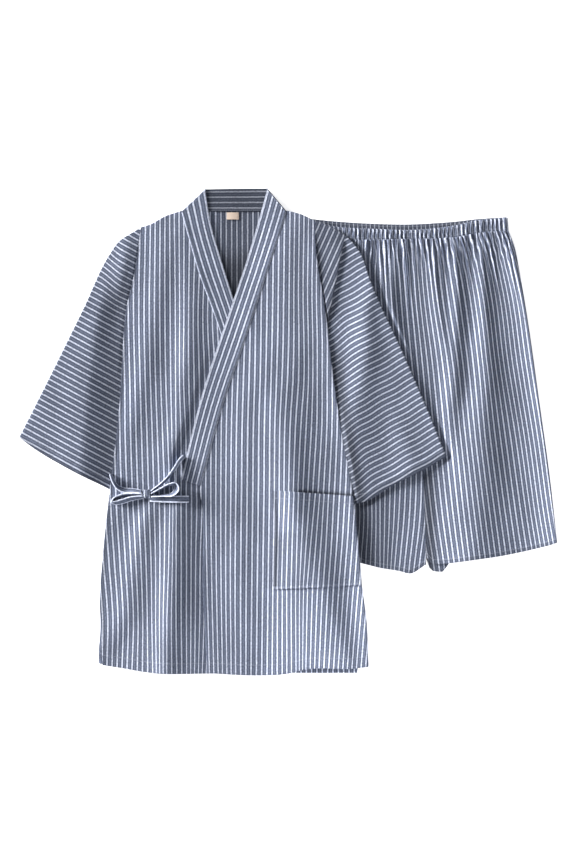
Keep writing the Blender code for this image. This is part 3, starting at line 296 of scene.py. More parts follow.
RIGHT_LEG_STRIPES = Stripes((-12, -8, -4, 0), mm(
    (343, 111.6, 141.3, 172.8, 204.3),
    (283.5, 106.2, 139, 174.8, 208.6),
    (130.5, 115, 150, 185.4, 222.1),
    (-13.5, 125, 163, 201.6, 238.5),
    (-157.5, 136.3, 165.4, 198.7, 236.9),
    (-229.5, 131.4, 165.4, 192.6, 228.4),
))
BACK_STRIPE_AT = -0.1110  # one white stripe of the back panel, which run straight down
# The sleeves' stripes are straight and cross the arm: the slope down from the body, and one that they pass
RIGHT_SLEEVE_SLOPE = math.radians(28.5)
LEFT_SLEEVE_SLOPE = math.radians(29.5)
SLEEVE_PITCH = 1.018  # the sleeves' repeat, as a share of the body's
RIGHT_SLEEVE_STRIPE_AT = (-0.3384, 0.2025)
LEFT_SLEEVE_STRIPE_AT = (0.1332, 0.2385)
PLEAT_SLOPE = math.radians(66.0)  # the tuck's stripes, from level
PLEAT_STRIPE_AT = (0.0630, 0.3420)
BAND_STRIPE_START = 0.12  # how far the band's first white stripe lies in from its free edge, in repeats
BAND_STRIPE_SHIFT = 0.32  # how much farther in it lies round the back neck

# Sewing, as the distance from an edge to its row of stitches
BODY_HEM_STITCH = 0.018
CUFF_STITCH = 0.0125
LEG_HEM_STITCH = 0.0070
POCKET_STITCH = 0.0022
BAND_STITCH = 0.0016
EDGE_STITCH = 0.0012
CASING_STITCH = 0.0035
FAR_FROM_SEWING = 1.0
RIM_PAINTED_SHADE = 0.30  # painted shade: how much darker a tube's pressed edge is painted
EDGE_PAINTED_SHADE = 0.45  # painted shade: how much darker the crease along a sewn edge is painted

# Painted shade and painted light: how much darker the cloth is painted there, or how much paler where the
# name speaks of light
NECK_PAINTED_SHADE, NECK_PAINTED_LIGHT, NECK_PAINTED_LIGHT_FROM = 0.30, 0.45, -0.140
BACK_HEM_PAINTED_LIGHT, BACK_HEM_PAINTED_LIGHT_FROM = 0.5, -0.405
RIGHT_SIDE_PAINTED_LIGHT, SIDE_REACH = 0.25, 0.080
MOUTH_PAINTED_SHADE, MOUTH_PAINTED_SHADE_FROM = 0.65, 0.008
BELOW_POCKET_PAINTED_LIGHT, POCKET_PAINTED_LIGHT, POCKET_EDGE_PAINTED_LIGHT = 0.22, 0.20, 0.2
RIGHT_ARMHOLE_PAINTED_SHADE, LEFT_ARMHOLE_PAINTED_SHADE, UNDERARM_PAINTED_SHADE = 0.34, 0.50, 0.08
TUCK_PAINTED_SHADE, TUCK_END_PAINTED_SHADE = 0.38, 0.30
BAND_INSIDE_PAINTED_SHADE = 0.18
UNDER_SLEEVE_PAINTED_LIGHT, BY_TOP_PAINTED_SHADE, INSEAM_PAINTED_SHADE = 0.70, 0.50, 0.65
LEG_RIM_SHARE = 0.7

# Noise in the cloth and the ribbon: its scale across and along the stripes, and its detail
MOTTLE_NOISE, CLOUDY_NOISE, FLECK_NOISE = (470.0, 320.0, 3.0), (22.0, 9.0), (760.0, 260.0)
CRINKLE_NOISE, PUCKER_NOISE, RIBBON_NOISE = (420.0, 95.0, 3.0), (160.0, 60.0, 1.0), (900.0, 900.0)
FLECK_RISE, FLECK_DIM, CLOUDY_SHARE = (0.56, 0.70), 0.34, 0.3
STITCH_LINE, STITCH_START = (0.0004, 0.0010), (0.15, 0.3)
PUCKER_REACH = 0.0035
THREAD_HEIGHT, SEAM_HEIGHT, RIB_HEIGHT = 0.00012, 0.0008, 0.00010
PAPER_GRAIN = 40.0

# The photo's frame
PIXEL = 0.0018  # the real size of one pixel
FRAME_PIXELS = (576, 864)
PAGE_PIXEL = (288.0, 432.5)  # the pixel at the page's origin
CAMERA_HEIGHT = 5.0
SENSOR_WIDTH = 36.0  # millimetres
FLOOR_REACH = 6.0
FLOOR_GAP = 0.0002
SUN_SIZE, SUN_BEARING = math.radians(24.0), math.radians(-112.0)
SOFTBOX_PLACE, SOFTBOX_AIM = (0.65, -1.2, 0.55), (-0.4, 0.9, -0.55)


def smooth(t):
    """0 up to t = 0, 1 from t = 1, and t*t*(3 - 2t) between."""
    t = np.clip(t, 0.0, 1.0)
    return t * t * (3.0 - 2.0 * t)


def hermite(knots, values, where):
    """Rows of values at any places: cubic pieces through the knots' values, with mean slopes at the knots."""
    slopes = np.gradient(values, knots, axis=0)
    where = np.clip(where, knots[0], knots[-1])
    span = np.clip(np.searchsorted(knots, where, side="right") - 1, 0, len(knots) - 2)
    step = (knots[span + 1] - knots[span])[..., None]
    t = (where - knots[span])[..., None] / step
    return (
        (1 + 2 * t) * (1 - t) ** 2 * values[span]
        + t * (1 - t) ** 2 * step * slopes[span]
        + t**2 * (3 - 2 * t) * values[span + 1]
        - t**2 * (1 - t) * step * slopes[span + 1]
    )


def lengths(points):
    """The length of a line of points up to each of them."""
    return np.concatenate([[0.0], np.cumsum(np.linalg.norm(np.diff(points, axis=0), axis=1))])


def curve(points, shares):
    """Points at shares of the length of a smooth curve through a few points."""
    points = np.array(points, float)
    length = lengths(points[:, :2])
    return hermite(length, points, np.clip(shares, 0.0, 1.0) * length[-1])


def across_at(edge, heights):
    """The x of an edge that runs from top to bottom, at any heights on the page."""
    fine = curve(edge, np.linspace(0.0, 1.0, CURVE_STEPS))
    return np.interp(-np.asarray(heights), -fine[:, 1], fine[:, 0])


def at_heights(edge, heights):
    """Where an edge that runs from top to bottom passes the given heights."""
    return np.column_stack([across_at(edge, heights), heights])


def height_across(edge, x):
    """The height on the page of an edge that runs across, at each x."""
    fine = curve(edge, np.linspace(0.0, 1.0, CURVE_STEPS))
    return np.interp(x, fine[:, 0], fine[:, 1])


def ruled(right_edge, left_edge, shares):
    """Rows of points on straight lines between two edges, at shares of the way across."""
    shares = np.broadcast_to(shares, (len(right_edge), np.shape(shares)[-1]))[..., None]
    return right_edge[:, None] * (1 - shares) + left_edge[:, None] * shares


def follow(grid, row, edge, reach):
    """Bends a grid's first or last row to an edge that runs across, and rows within reach less and less."""
    shift = height_across(edge, grid[row, :, 0]) - grid[row, :, 1]
    distance = np.abs(np.arange(len(grid)) - (row % len(grid)))
    grid[..., 1] += (1.0 - smooth(distance / reach))[:, None] * shift


def fine_heights(column, last=len(BODY_ROWS) - 1):
    """A column of the body's table, with FINE rows put in for each of its own."""
    values = np.array([getattr(row, column) for row in BODY_ROWS])
    return np.interp(np.linspace(0.0, last, last * FINE + 1), np.arange(len(values)), values)


def relief(x, y, folds):
    """The folds' height: each is a bell across its crest, and the bell changes smoothly down it."""
    total = np.zeros(np.shape(x))
    for fold in folds:
        points = np.array(fold)[::-1]
        crest, _, height, right, left = np.moveaxis(hermite(points[:, 1], points, y), -1, 0)
        across = (x - crest) / np.where(x > crest, left, right)
        total += np.maximum(height, 0.0) * np.exp(-(across**2))
    return total


def support(x, y):
    """How high the top's underside lies: 0, with a smooth rise in x and y onto the shorts' hidden part."""
    waist_x, lean = SHORTS_LEFT_OF
    hidden_side = waist_x - lean * (WAIST_BACK_TOP[0][1] - y) - STACK_MARGIN
    hidden_hem = height_across(RIGHT_LEG_HEM, np.minimum(x, LEFT_SIDE[-1][0])) - STACK_MARGIN
    inward = smooth((x - hidden_side) / SIDE_RAMP + 1.0)
    return SHORTS_STACK * inward * smooth((y - hidden_hem) / HEM_RAMP + 1.0)


def out_from_under(x, y):
    """0 where the top covers the shorts and 1 from a small distance past its outline, by the nearest edge."""
    side = [point for point in LEFT_SIDE if point[1] < LEFT_UNDERARM]
    corners = np.array([(-0.1, 0.5)] + LEFT_SLEEVE_FOLD + LEFT_CUFF[-2::-1] + side + [(-0.1, -0.5)])
    inside = np.zeros(np.shape(x), bool)
    distance = np.full(np.shape(x), 1.0)
    for start, end in zip(corners, np.roll(corners, -1, axis=0)):
        run = end - start
        dx, dy = x - start[0], y - start[1]
        share = np.clip((dx * run[0] + dy * run[1]) / (run @ run), 0.0, 1.0)
        distance = np.minimum(distance, np.hypot(dx - share * run[0], dy - share * run[1]))
        if run[1]:
            spans = (start[1] > y) != (end[1] > y)
            inside ^= spans & (x < start[0] + run[0] * (y - start[1]) / run[1])
    return np.where(inside, 0.0, smooth((distance - UNDER_MARGIN) / UNDER_EASE))


def over_lift(x, y):
    """How far up from the front level the over front lies: 1 over the under band, eased to 0 past it."""
    hidden_edge = across_at(RIGHT_BAND_EDGE, np.maximum(y, RIGHT_BAND_EDGE[-1][1])) + STACK_MARGIN
    return smooth((WRAP_START - y) / WRAP_RISE) * (1.0 - smooth((x - hidden_edge) / WRAP_EASE))


def settled(x, y, height):
    """Small unevenness of soft cloth: three slow waves of different lengths, raised to stay above 0."""
    waves = (
        np.sin(61.0 * x + 23.0 * y + 0.7 + 1.1 * np.sin(17.0 * y))
        + 0.8 * np.sin(112.0 * x - 31.0 * y + 2.1 + 1.3 * np.sin(21.0 * y + 1.0))
        + 0.6 * np.sin(38.0 * y + 19.0 * x + 0.9 * np.sin(73.0 * x))
    )
    return height * (waves / 2.4 + 1.0) / 2.0


def number_of_stripe(x, y, stripes):
    """The number of the stripe at each point, whole on a white stripe's middle.

    The table's stripes are smooth curves down the page. Between two of them the number grows evenly, and past
    the last one it goes on at the same rate.
    """
    numbers = np.array(stripes.numbers, float)
    table = np.array(stripes.rows)[::-1]
    heights, table = table[:, 0], table[:, 1:]
    level = np.clip(y, heights[0], heights[-1])
    slopes = np.gradient(table, heights, axis=0)[np.where(y > level, -1, 0)]
    crossings = hermite(heights, table, level) + slopes * (y - level)[..., None]
    between = np.clip((crossings < x[..., None]).sum(-1) - 1, 0, len(numbers) - 2)
    low = np.take_along_axis(crossings, between[..., None], -1)[..., 0]
    high = np.take_along_axis(crossings, between[..., None] + 1, -1)[..., 0]
    return numbers[between] + (numbers[between + 1] - numbers[between]) * (x - low) / (high - low)


def xy(grid):
    """The x and the y of each point of a grid."""
    return grid[..., 0], grid[..., 1]


def spread(*numbers):
    """Numbers side by side for each point of a grid, from values for points, rows, columns or all of it."""
    return np.stack(np.broadcast_arrays(*numbers), -1)


def cells(grid):
    """The numbers at the four corners of each cell of a grid."""
    return np.stack([grid[:-1, :-1], grid[:-1, 1:], grid[1:, 1:], grid[1:, :-1]], -1).reshape(-1, 4)


def around(grid):
    """The numbers round a grid's edge, back to the first."""
    return np.concatenate([grid[0, :-1], grid[:-1, -1], grid[-1, :0:-1], grid[:0:-1, 0], grid[:1, 0]])


def put(name, data):
    """A new object with the given data, in the scene."""
    obj = bpy.data.objects.new(name, data)
    bpy.context.scene.collection.objects.link(obj)
    return obj


class Wall:
    """A closed cloth wall between two equal grids of points, with a rounded rim.

    The rim is a half circle from each border point of the outer grid to its fellow on the inner one, bulging
    away from the grid. A ring's last column meets its first, and only its first and last rows have a rim.
    """

    RIM_ANGLES = np.radians([45.0, 0.0, -45.0])
    INNER_ORDER = [0, 3, 2, 1]
    RIM_ORDER = [1, 0, 3, 2]

    def __init__(self, name, outer, inner, weave, sewing=None, ring=False):
        """weave says how far across and along the stripes a point lies, and sewing along and from stitches.

        A ring's weave and sewing have one more column than its points.
        """
        rows, columns = outer.shape[:2]
        inside = rows * columns
        number = np.arange(inside).reshape(rows, columns)
        key = np.arange(rows * weave.shape[1]).reshape(rows, -1)
        if ring:
            borders = [(number[0], key[0]), (number[-1, ::-1], key[-1, ::-1])]
            number = np.hstack([number, number[:, :1]])
        else:
            borders = [(around(number)[:-1], around(key))]
        points = [outer.reshape(-1, 3), inner.reshape(-1, 3)]
        quads = [cells(number), cells(number)[:, self.INNER_ORDER] + inside]
        keys = [cells(key), cells(key)[:, self.INNER_ORDER]]
        middle = (outer + inner) / 2
        for border, border_keys in borders:
            row, column = np.divmod(border, columns)
            centre, half = middle[row, column], (outer - inner)[row, column] / 2
            next_column = column if ring else np.clip(column, 1, columns - 2)
            away = centre - middle[np.clip(row, 1, rows - 2), next_column]
            away -= half * ((away * half).sum(-1) / (half * half).sum(-1))[:, None]
            away *= (np.linalg.norm(half, axis=1) / np.linalg.norm(away, axis=1))[:, None]
            loops = [border]
            for angle in self.RIM_ANGLES:
                loops.append(np.arange(len(border)) + sum(map(len, points)))
                points.append(centre + half * math.sin(angle) + away * math.cos(angle))
            loops = np.array([*loops, border + inside])
            quads.append(cells(np.hstack([loops, loops[:, :1]]))[:, self.RIM_ORDER])
            keys.append(cells(np.tile(border_keys, (len(loops), 1)))[:, self.RIM_ORDER])
        points, quads, keys = np.vstack(points), np.vstack(quads), np.vstack(keys)
        corners = points[quads]
        if np.linalg.det(np.vstack([corners[:, [0, 1, 2]], corners[:, [0, 2, 3]]])).sum() < 0:
            quads, keys = quads[:, ::-1], keys[:, ::-1]
        mesh = bpy.data.meshes.new(name)
        mesh.from_pydata((points - [*MIDDLE, 0.0]).tolist(), [], quads.tolist())
        self.obj = put(name, mesh)
        self.keys = keys
        self.shape = weave.shape[:2]
        self.map("weave", weave)
        self.map("sewing", np.full(weave.shape, FAR_FROM_SEWING) if sewing is None else sewing)
        mesh.shade_smooth()
        mesh.update()

    def map(self, name, values):
        """Stores two numbers for each point as a map of the face corners."""
        layer = self.obj.data.uv_layers.new(name=name)
        layer.uv.foreach_set("vector", values.reshape(-1, 2)[self.keys].ravel())

    def attribute(self, name, values):
        """Stores a number for each point as an attribute of the face corners."""
        layer = self.obj.data.attributes.new(name, "FLOAT", "CORNER")
        values = np.broadcast_to(values, self.shape)
        layer.data.foreach_set("value", values.ravel()[self.keys].ravel().astype(np.float32))


class Number:
    """A shader socket that arithmetic works on: an expression adds the Math nodes that work it out."""

    def __init__(self, paint, socket):
        self.paint = paint
        self.socket = socket

    def math(self, operation, *others):
        return self.paint.number("ShaderNodeMath", {"operation": operation}, self, *others)

    def __add__(self, other):
        return self.math("ADD", other)

    def __sub__(self, other):
        return self.math("SUBTRACT", other)

    def __mul__(self, other):
        return self.math("MULTIPLY", other)

    def __truediv__(self, other):
        return self.math("DIVIDE", other)

    def __rsub__(self, other):
        return (self * -1.0) + other

    __radd__ = __add__

    def between(self, low, high):
        """0 below low, 1 above high and an S-shaped rise between them."""
        return self.paint.number("ShaderNodeMapRange", {"interpolation_type": "SMOOTHSTEP"}, self, low, high)


class Paint:
    """A material's node tree, from its shader back."""

    def __init__(self, name):
        self.material = bpy.data.materials.new(name)
        self.material.use_nodes = True
        self.tree = self.material.node_tree
        self.shader = self.tree.nodes["Principled BSDF"]

    def node(self, kind, settings, *inputs, **named):
        """Adds a node, sets its settings and then its sockets, by order or by name, to values or links."""
        node = self.tree.nodes.new(kind)
        for key, value in settings.items():
            setattr(node, key, value)
        for key, value in [*enumerate(inputs), *named.items()]:
            self.feed(node.inputs[key], value)
        return node

    def number(self, kind, settings, *inputs, **named):
        """Adds a node and gives its first output as a number."""
        return Number(self, self.node(kind, settings, *inputs, **named).outputs[0])

    def feed(self, socket, value):
        """Links a socket to a Number or another socket, or sets it."""
        if isinstance(value, Number):
            value = value.socket
        if isinstance(value, bpy.types.NodeSocket):
            self.tree.links.new(value, socket)
        else:
            socket.default_value = value

    def finish(self, **values):
        """Feeds the shader's sockets by name, with _ for each space."""
        for name, value in values.items():
            self.feed(self.shader.inputs[name.replace("_", " ")], value)
        return self.material

    def ramp(self, stops, share):
        """A colour ramp through its stops, each a place and a colour."""
        node = self.node("ShaderNodeValToRGB", {}, share)
        for position, _ in stops[2:]:
            node.color_ramp.elements.new(position)
        for element, (position, colour) in zip(node.color_ramp.elements, stops):
            element.position = position
            element.color = (*colour, 1.0)
        return node.outputs[0]

    def uv(self, title):
        """The two numbers of one of the piece's own maps."""
        point = self.node("ShaderNodeUVMap", {"uv_map": title}).outputs[0]
        parts = self.node("ShaderNodeSeparateXYZ", {}, point)
        return Number(self, parts.outputs[0]), Number(self, parts.outputs[1])

    def attribute(self, name):
        return Number(self, self.node("ShaderNodeAttribute", {"attribute_name": name}).outputs["Fac"])

    def noise(self, x, y, scale_x, scale_y, detail=2.0):
        """Noise over two numbers, stretched by its own scale on each."""
        point = self.node("ShaderNodeCombineXYZ", {}, x * scale_x, y * scale_y).outputs[0]
        settings = {"noise_dimensions": "2D"}
        return self.number("ShaderNodeTexNoise", settings, Vector=point, Scale=1.0, Detail=detail)

    def scaled(self, colour, factor):
        """A colour made paler or darker by a factor."""
        return self.node("ShaderNodeVectorMath", {"operation": "SCALE"}, colour, Scale=factor).outputs[0]

    def mix(self, share, first, second):
        """One colour changing into another."""
        node = self.node("ShaderNodeMix", {"data_type": "RGBA"})
        for socket, value in (("Factor", share), (6, first), (7, second)):
            self.feed(node.inputs[socket], (*value, 1.0) if isinstance(value, tuple) else value)
        return node.outputs[2]

    def bump(self, height, distance, strength, **under):
        """A normal turned by a height in units of distance metres."""
        node = self.node("ShaderNodeBump", {}, Strength=strength, Distance=distance, Height=height, **under)
        return node.outputs[0]


def striped_cotton(name, cloth, tucked=False):
    """Woven cotton: narrow white stripes on slate blue, fine threads, a slight crinkle and rows of stitches.

    The weave map's first number counts stripes and its second is metres along them. A piece's painted light
    and shade attribute darkens the cloth with painted shade, and below 0 makes it paler with painted light. A
    tucked piece changes to a second set of stripes where its pleat attribute is above 0.
    """
    paint = Paint(name)
    stripe, along = paint.uv("weave")
    if tucked:
        inner_stripe, inner_along = paint.uv("tuck")
        side = paint.attribute("pleat").math("GREATER_THAN", 0.0)
        stripe = stripe * (1.0 - side) + inner_stripe * side
        along = along * (1.0 - side) + inner_along * side
    across = stripe * cloth.pitch
    waver = (paint.noise(stripe, along, 1.0, 90.0) - 0.5) * cloth.waver
    from_white = ((stripe + waver + 0.5).math("FRACT") - 0.5).math("ABSOLUTE")
    white_edge = cloth.white_share / 2
    soft = cloth.edge_softness / 2
    white, blue, dark = tuple(cloth.white), tuple(cloth.blue), tuple(cloth.dark)
    stops = [(white_edge - soft, white), (white_edge + soft, blue), (0.25, dark), (0.32, dark), (0.42, blue)]
    mottle = paint.noise(across, along, *MOTTLE_NOISE)
    fleck = paint.noise(across, along, *FLECK_NOISE).between(*FLECK_RISE)
    cloudy = paint.noise(across, along, *CLOUDY_NOISE)
    tone = 1.0 + (mottle - 0.5) * cloth.mottle + (cloudy - 0.5) * cloth.mottle * CLOUDY_SHARE
    tone = tone - fleck * FLECK_DIM
    from_stitch_along, from_stitch = paint.uv("sewing")
    from_row = from_stitch.math("ABSOLUTE")
    line = 1.0 - from_row.between(*STITCH_LINE)
    stitch = line * (from_stitch_along / cloth.stitch_length).math("FRACT").between(*STITCH_START)
    # Painted shade from the piece's attribute darkens the tone here, and painted light below 0 makes it
    # paler.
    tone = (tone - line * 0.06) * (1.0 - paint.attribute("painted_light_and_shade"))
    colour = paint.scaled(paint.ramp(stops, from_white), tone)
    colour = paint.mix(stitch * 0.22, colour, tuple(c * 0.92 for c in white))
    warp = (across * (math.pi / cloth.thread)).math("SINE")
    weft = (along * (math.pi / cloth.thread)).math("SINE")
    crinkle = paint.noise(across, along, *CRINKLE_NOISE)
    pucker = paint.noise(from_stitch_along, from_stitch, *PUCKER_NOISE)
    pucker = (1.0 - from_row.between(0.0, PUCKER_REACH)) * pucker
    fine = paint.bump((warp * weft).math("ABSOLUTE"), THREAD_HEIGHT, 0.5)
    rough = paint.bump(crinkle, cloth.crinkle, 1.0, Normal=fine)
    sewn = paint.bump(pucker - line * 0.6 + stitch * 0.5, SEAM_HEIGHT, 1.0, Normal=rough)
    return paint.finish(
        Base_Color=colour, Normal=sewn, Roughness=0.86 + (mottle - 0.5) * 0.12, Specular_IOR_Level=0.18,
        Sheen_Weight=0.12, Sheen_Roughness=0.5, Sheen_Tint=(0.75, 0.80, 0.95, 1.0))


def label_ribbon(name, colour):
    """Woven ribbon: a close rib across it, a faint mottle, and a row of stitches along its two ends."""
    paint = Paint(name)
    across, along = paint.uv("weave")
    ribs = (along * (2 * math.pi / RIB)).math("SINE")
    mottle = paint.noise(across, along, *RIBBON_NOISE)
    _, from_stitch = paint.uv("sewing")
    line = 1.0 - from_stitch.math("ABSOLUTE").between(0.0002, 0.0006)
    tone = 1.0 + (mottle - 0.5) * 0.10 - line * 0.18
    return paint.finish(
        Base_Color=paint.scaled(colour, tone), Normal=paint.bump(ribs, RIB_HEIGHT, 0.5),
        Roughness=0.52 + (mottle - 0.5) * 0.1)


def floor_paper(name, colour, glow):
    """Matt paper on a light table: one pale colour with a barely uneven roughness and an even glow."""
    paint = Paint(name)
    point = paint.node("ShaderNodeTexCoord", {}).outputs["Object"]
    grain = paint.number("ShaderNodeTexNoise", {}, Vector=point, Scale=PAPER_GRAIN)
    return paint.finish(
        Base_Color=(*colour, 1.0), Specular_IOR_Level=0.1, Emission_Strength=glow,
        Roughness=0.9 + (grain - 0.5) * 0.05)


def cotton():
    """The striped cotton, made once."""
    made = bpy.data.materials.get("pajama_cotton")
    return made or striped_cotton("pajama_cotton", bpy.context.scene.pajama_cloth)


def dress(wall, node, area=None, painted_light_and_shade=None, material=None):
    """Gives a piece its painted shade and light and its finish, hides its solid and hangs it on the root
    body.
    """
    # The piece's painted shade and painted light, stored for its material.
    if painted_light_and_shade is not None:
        wall.attribute("painted_light_and_shade", painted_light_and_shade)
    obj = wall.obj
    obj.data.materials.append(material or cotton())
    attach(obj, "root")
    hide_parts(node)


def flat_area(grid):
    """The area of a grid on the page, from the cross products of its cells' diagonals."""
    first = grid[1:, 1:, :2] - grid[:-1, :-1, :2]
    second = grid[1:, :-1, :2] - grid[:-1, 1:, :2]
    return float(np.abs(first[..., 0] * second[..., 1] - first[..., 1] * second[..., 0]).sum() / 2)


def weave_of(grid, stripes):
    """The weave of a panel whose stripes are in a table: the stripe's number, and the height on the page."""
    return spread(number_of_stripe(*xy(grid), stripes), grid[..., 1])


def hem_sewing(grid, edge, stitch, lean=0.0):
    """Along and from a row of stitches that follows a hem at a set distance. lean is the hem's own slope."""
    x, y = xy(grid)
    return spread(x, (y - height_across(edge, x)) * math.cos(lean) - stitch)


def lifted(grid, height, wall):
    """The outer and inner points of a wall over a flat grid, from the height of its underside."""
    return np.dstack([grid, height + wall]), np.dstack([grid, height])


def lay_panel(name, node, grid, height, weave, sewing, painted_light_and_shade):
    """A panel of cloth on a grid of the page."""
    wall = Wall(name, *lifted(grid, height, CLOTH), weave, sewing)
    dress(wall, node, flat_area(grid), painted_light_and_shade)


def under_creases(x, y):
    """The under front's own creases, which stop short of the over front's edge."""
    edge = across_at(LEFT_BAND_EDGE + LEFT_FRONT_EDGE[1:], y)
    clear = smooth((edge - STACK_MARGIN - x) / FOLD_EASE)
    return clear * (relief(x, y, RIGHT_FRONT_FOLDS) + settled(x, y, UNEVENNESS))


def over_creases(x, y):
    """The over front's own creases."""
    return relief(x, y, LEFT_FRONT_FOLDS) + settled(x + 0.3, y, UNEVENNESS)


def right_front_height(x, y):
    """The underside of the under front, on the back panel."""
    return support(x, y) + FRONT_LEVEL + relief(x, y, BODY_FOLDS) + under_creases(x, y)


def left_front_height(x, y):
    """The underside of the over front: on the back panel, or up on the under front's band."""
    lift = (OVER_LEVEL - FRONT_LEVEL) * over_lift(x, y)
    return support(x, y) + FRONT_LEVEL + lift + relief(x, y, BODY_FOLDS) + over_creases(x, y)


def build_back_panel():
    """The back panel: rows of straight lines from side to side, on the surface."""
    heights = fine_heights("left_side")
    heights[-FINE:] = np.linspace(heights[-FINE - 1], BACK_LEFT_SIDE[-1][1], FINE + 1)[1:]
    right = at_heights(BACK_RIGHT_SIDE, fine_heights("right_side"))
    grid = ruled(right, at_heights(BACK_LEFT_SIDE, heights), np.linspace(0.0, 1.0, BACK_COLUMNS))
    neck = [(x, RIGHT_SHOULDER[-1][1]) for x in (RIGHT_SHOULDER[-1][0], LEFT_SHOULDER[0][0])]
    top = RIGHT_SHOULDER[:-1] + neck + LEFT_SHOULDER[1:]
    shift = np.interp(grid[0, :, 0], *np.transpose(top)) - SEAM_GAP - grid[0, :, 1]
    grid[..., 1] += (1.0 - smooth(np.arange(len(grid)) / (2.0 * FINE)))[:, None] * shift
    follow(grid, -1, BACK_HEM, FINE)
    x, y = xy(grid)
    cloth = bpy.context.scene.pajama_cloth
    # The inner face's painted shade, deepened into the neck's hollow and lightened at the neck's left with
    # painted light, fades out towards the waist; painted light brightens the back's hem strip below the
    # fronts.
    deep = NECK_PAINTED_SHADE * smooth((NECK_DEPTH - y) / 0.05)
    lit = NECK_PAINTED_LIGHT * (1.0 - smooth((x - NECK_PAINTED_LIGHT_FROM) / 0.028))
    inside = (cloth.inner_face_painted_shade + deep - lit) * smooth((y + 0.2) / 0.2)
    below_fronts = BACK_HEM_PAINTED_LIGHT * smooth((BACK_HEM_PAINTED_LIGHT_FROM - y) / 0.01)
    lay_panel("back_cloth", "back_panel", grid, support(x, y), spread((x - BACK_STRIPE_AT) / cloth.pitch, y),
              hem_sewing(grid, BACK_HEM, BODY_HEM_STITCH), inside - below_fronts)


def build_right_front():
    """The under front: rows from its side seam to the band's seam and its hidden edge below."""
    side = at_heights(RIGHT_SIDE, fine_heights("right_side"))
    edge = at_heights(RIGHT_BAND_SEAM + RIGHT_FRONT_EDGE[1:], fine_heights("right_edge"))
    grid = ruled(side, edge - [SEAM_GAP, 0.0], np.linspace(0.0, 1.0, RIGHT_FRONT_COLUMNS))
    follow(grid, 0, RIGHT_SHOULDER, FINE)
    follow(grid, -1, RIGHT_HEM, FINE)
    x, y = xy(grid)
    # Painted light along the side seam, fading out towards the hem, and painted shade on the first two
    # columns at the side's edge.
    painted_light_and_shade = -RIGHT_SIDE_PAINTED_LIGHT * smooth((y + 0.16) / 0.05) * (1.0 - smooth((x - x[:, :1]) / SIDE_REACH))
    painted_light_and_shade[:, :2] = RIM_PAINTED_SHADE
    lay_panel("right_front_cloth", "right_front", grid, right_front_height(x, y),
              weave_of(grid, RIGHT_FRONT_STRIPES), hem_sewing(grid, RIGHT_HEM, BODY_HEM_STITCH), painted_light_and_shade)


def left_front_grid():
    """The over front's points, with a column along the pocket's edge and rows along its top and bottom."""
    edge = at_heights(LEFT_BAND_SEAM + LEFT_FRONT_EDGE[1:], fine_heights("left_edge"))
    side = at_heights(LEFT_SIDE, fine_heights("left_side"))
    rows = np.arange(len(edge)) / FINE
    pocket_line = np.interp(rows, (LAST_BAND_ROW, LAST_POCKET_ROW), POCKET_SHARES)[:, None]
    first = pocket_line * np.linspace(0.0, 1.0, POCKET_COLUMN + 1)
    second = pocket_line + (1.0 - pocket_line) * np.linspace(0.0, 1.0, POCKET_COLUMNS)[1:]
    grid = ruled(edge + [SEAM_GAP, 0.0], side, np.hstack([first, second]))
    follow(grid, 0, LEFT_SHOULDER, FINE)
    follow(grid, -1, LEFT_HEM, FINE)
    return grid


def build_left_front():
    """The over front, from the band's seam to its side seam, with painted shade above the pocket's mouth and
    painted light below it.
    """
    grid = left_front_grid()
    x, y = xy(grid)
    mouth, low = LAST_BAND_ROW * FINE, LAST_POCKET_ROW * FINE
    # Painted shade along the pocket's mouth, and painted light on the cloth below the pocket.
    painted_light_and_shade = np.zeros(x.shape)
    painted_light_and_shade[mouth - 1 : mouth + 3] = MOUTH_PAINTED_SHADE * smooth((x[mouth] - MOUTH_PAINTED_SHADE_FROM) / 0.018)
    painted_light_and_shade[mouth - 2] = 0.3 * painted_light_and_shade[mouth]
    painted_light_and_shade[low:] -= BELOW_POCKET_PAINTED_LIGHT * smooth((x[low:] + 0.060) / 0.030)
    lay_panel("left_front_cloth", "left_front", grid, left_front_height(x, y),
              weave_of(grid, LEFT_FRONT_STRIPES), hem_sewing(grid, LEFT_HEM, BODY_HEM_STITCH), painted_light_and_shade)


def build_pocket():
    """The patch pocket: the over front's own points moved out, with its mouth standing open a little."""
    grid = left_front_grid()[LAST_BAND_ROW * FINE : LAST_POCKET_ROW * FINE + 1, POCKET_COLUMN:]
    x, y = xy(grid)
    down, share = np.linspace(0.0, 1.0, len(x))[:, None], np.linspace(0.0, 1.0, len(x[0]))
    mouth = POCKET_OPENING * (1.0 - smooth(down / 0.22)) * np.sin(math.pi * share) ** 0.6
    height = left_front_height(x, y) + CLOTH + SEAM_GAP + mouth
    left_gap, low_gap, high_gap = x - x[:, :1], y - y[-1], y[0] - y
    nearest = np.minimum(np.minimum(left_gap, low_gap) - POCKET_STITCH, high_gap - CUFF_STITCH)
    # Painted shade in the crease along the pocket's sewn left edge, and painted light along its bottom edge
    # and on its upper part near the left side.
    painted_light_and_shade = np.zeros(x.shape)
    painted_light_and_shade[:, :3] = EDGE_PAINTED_SHADE
    painted_light_and_shade[-2:] = -POCKET_EDGE_PAINTED_LIGHT
    painted_light_and_shade[:24, 2:] -= POCKET_PAINTED_LIGHT * smooth(share[2:] / 0.1) * (1.0 - smooth((share[2:] - 0.25) / 0.25))
    lay_panel("pocket_cloth", "patch_pocket", grid, height, weave_of(grid, POCKET_STRIPES),
              spread(np.where(left_gap < low_gap, y, x), nearest), painted_light_and_shade)


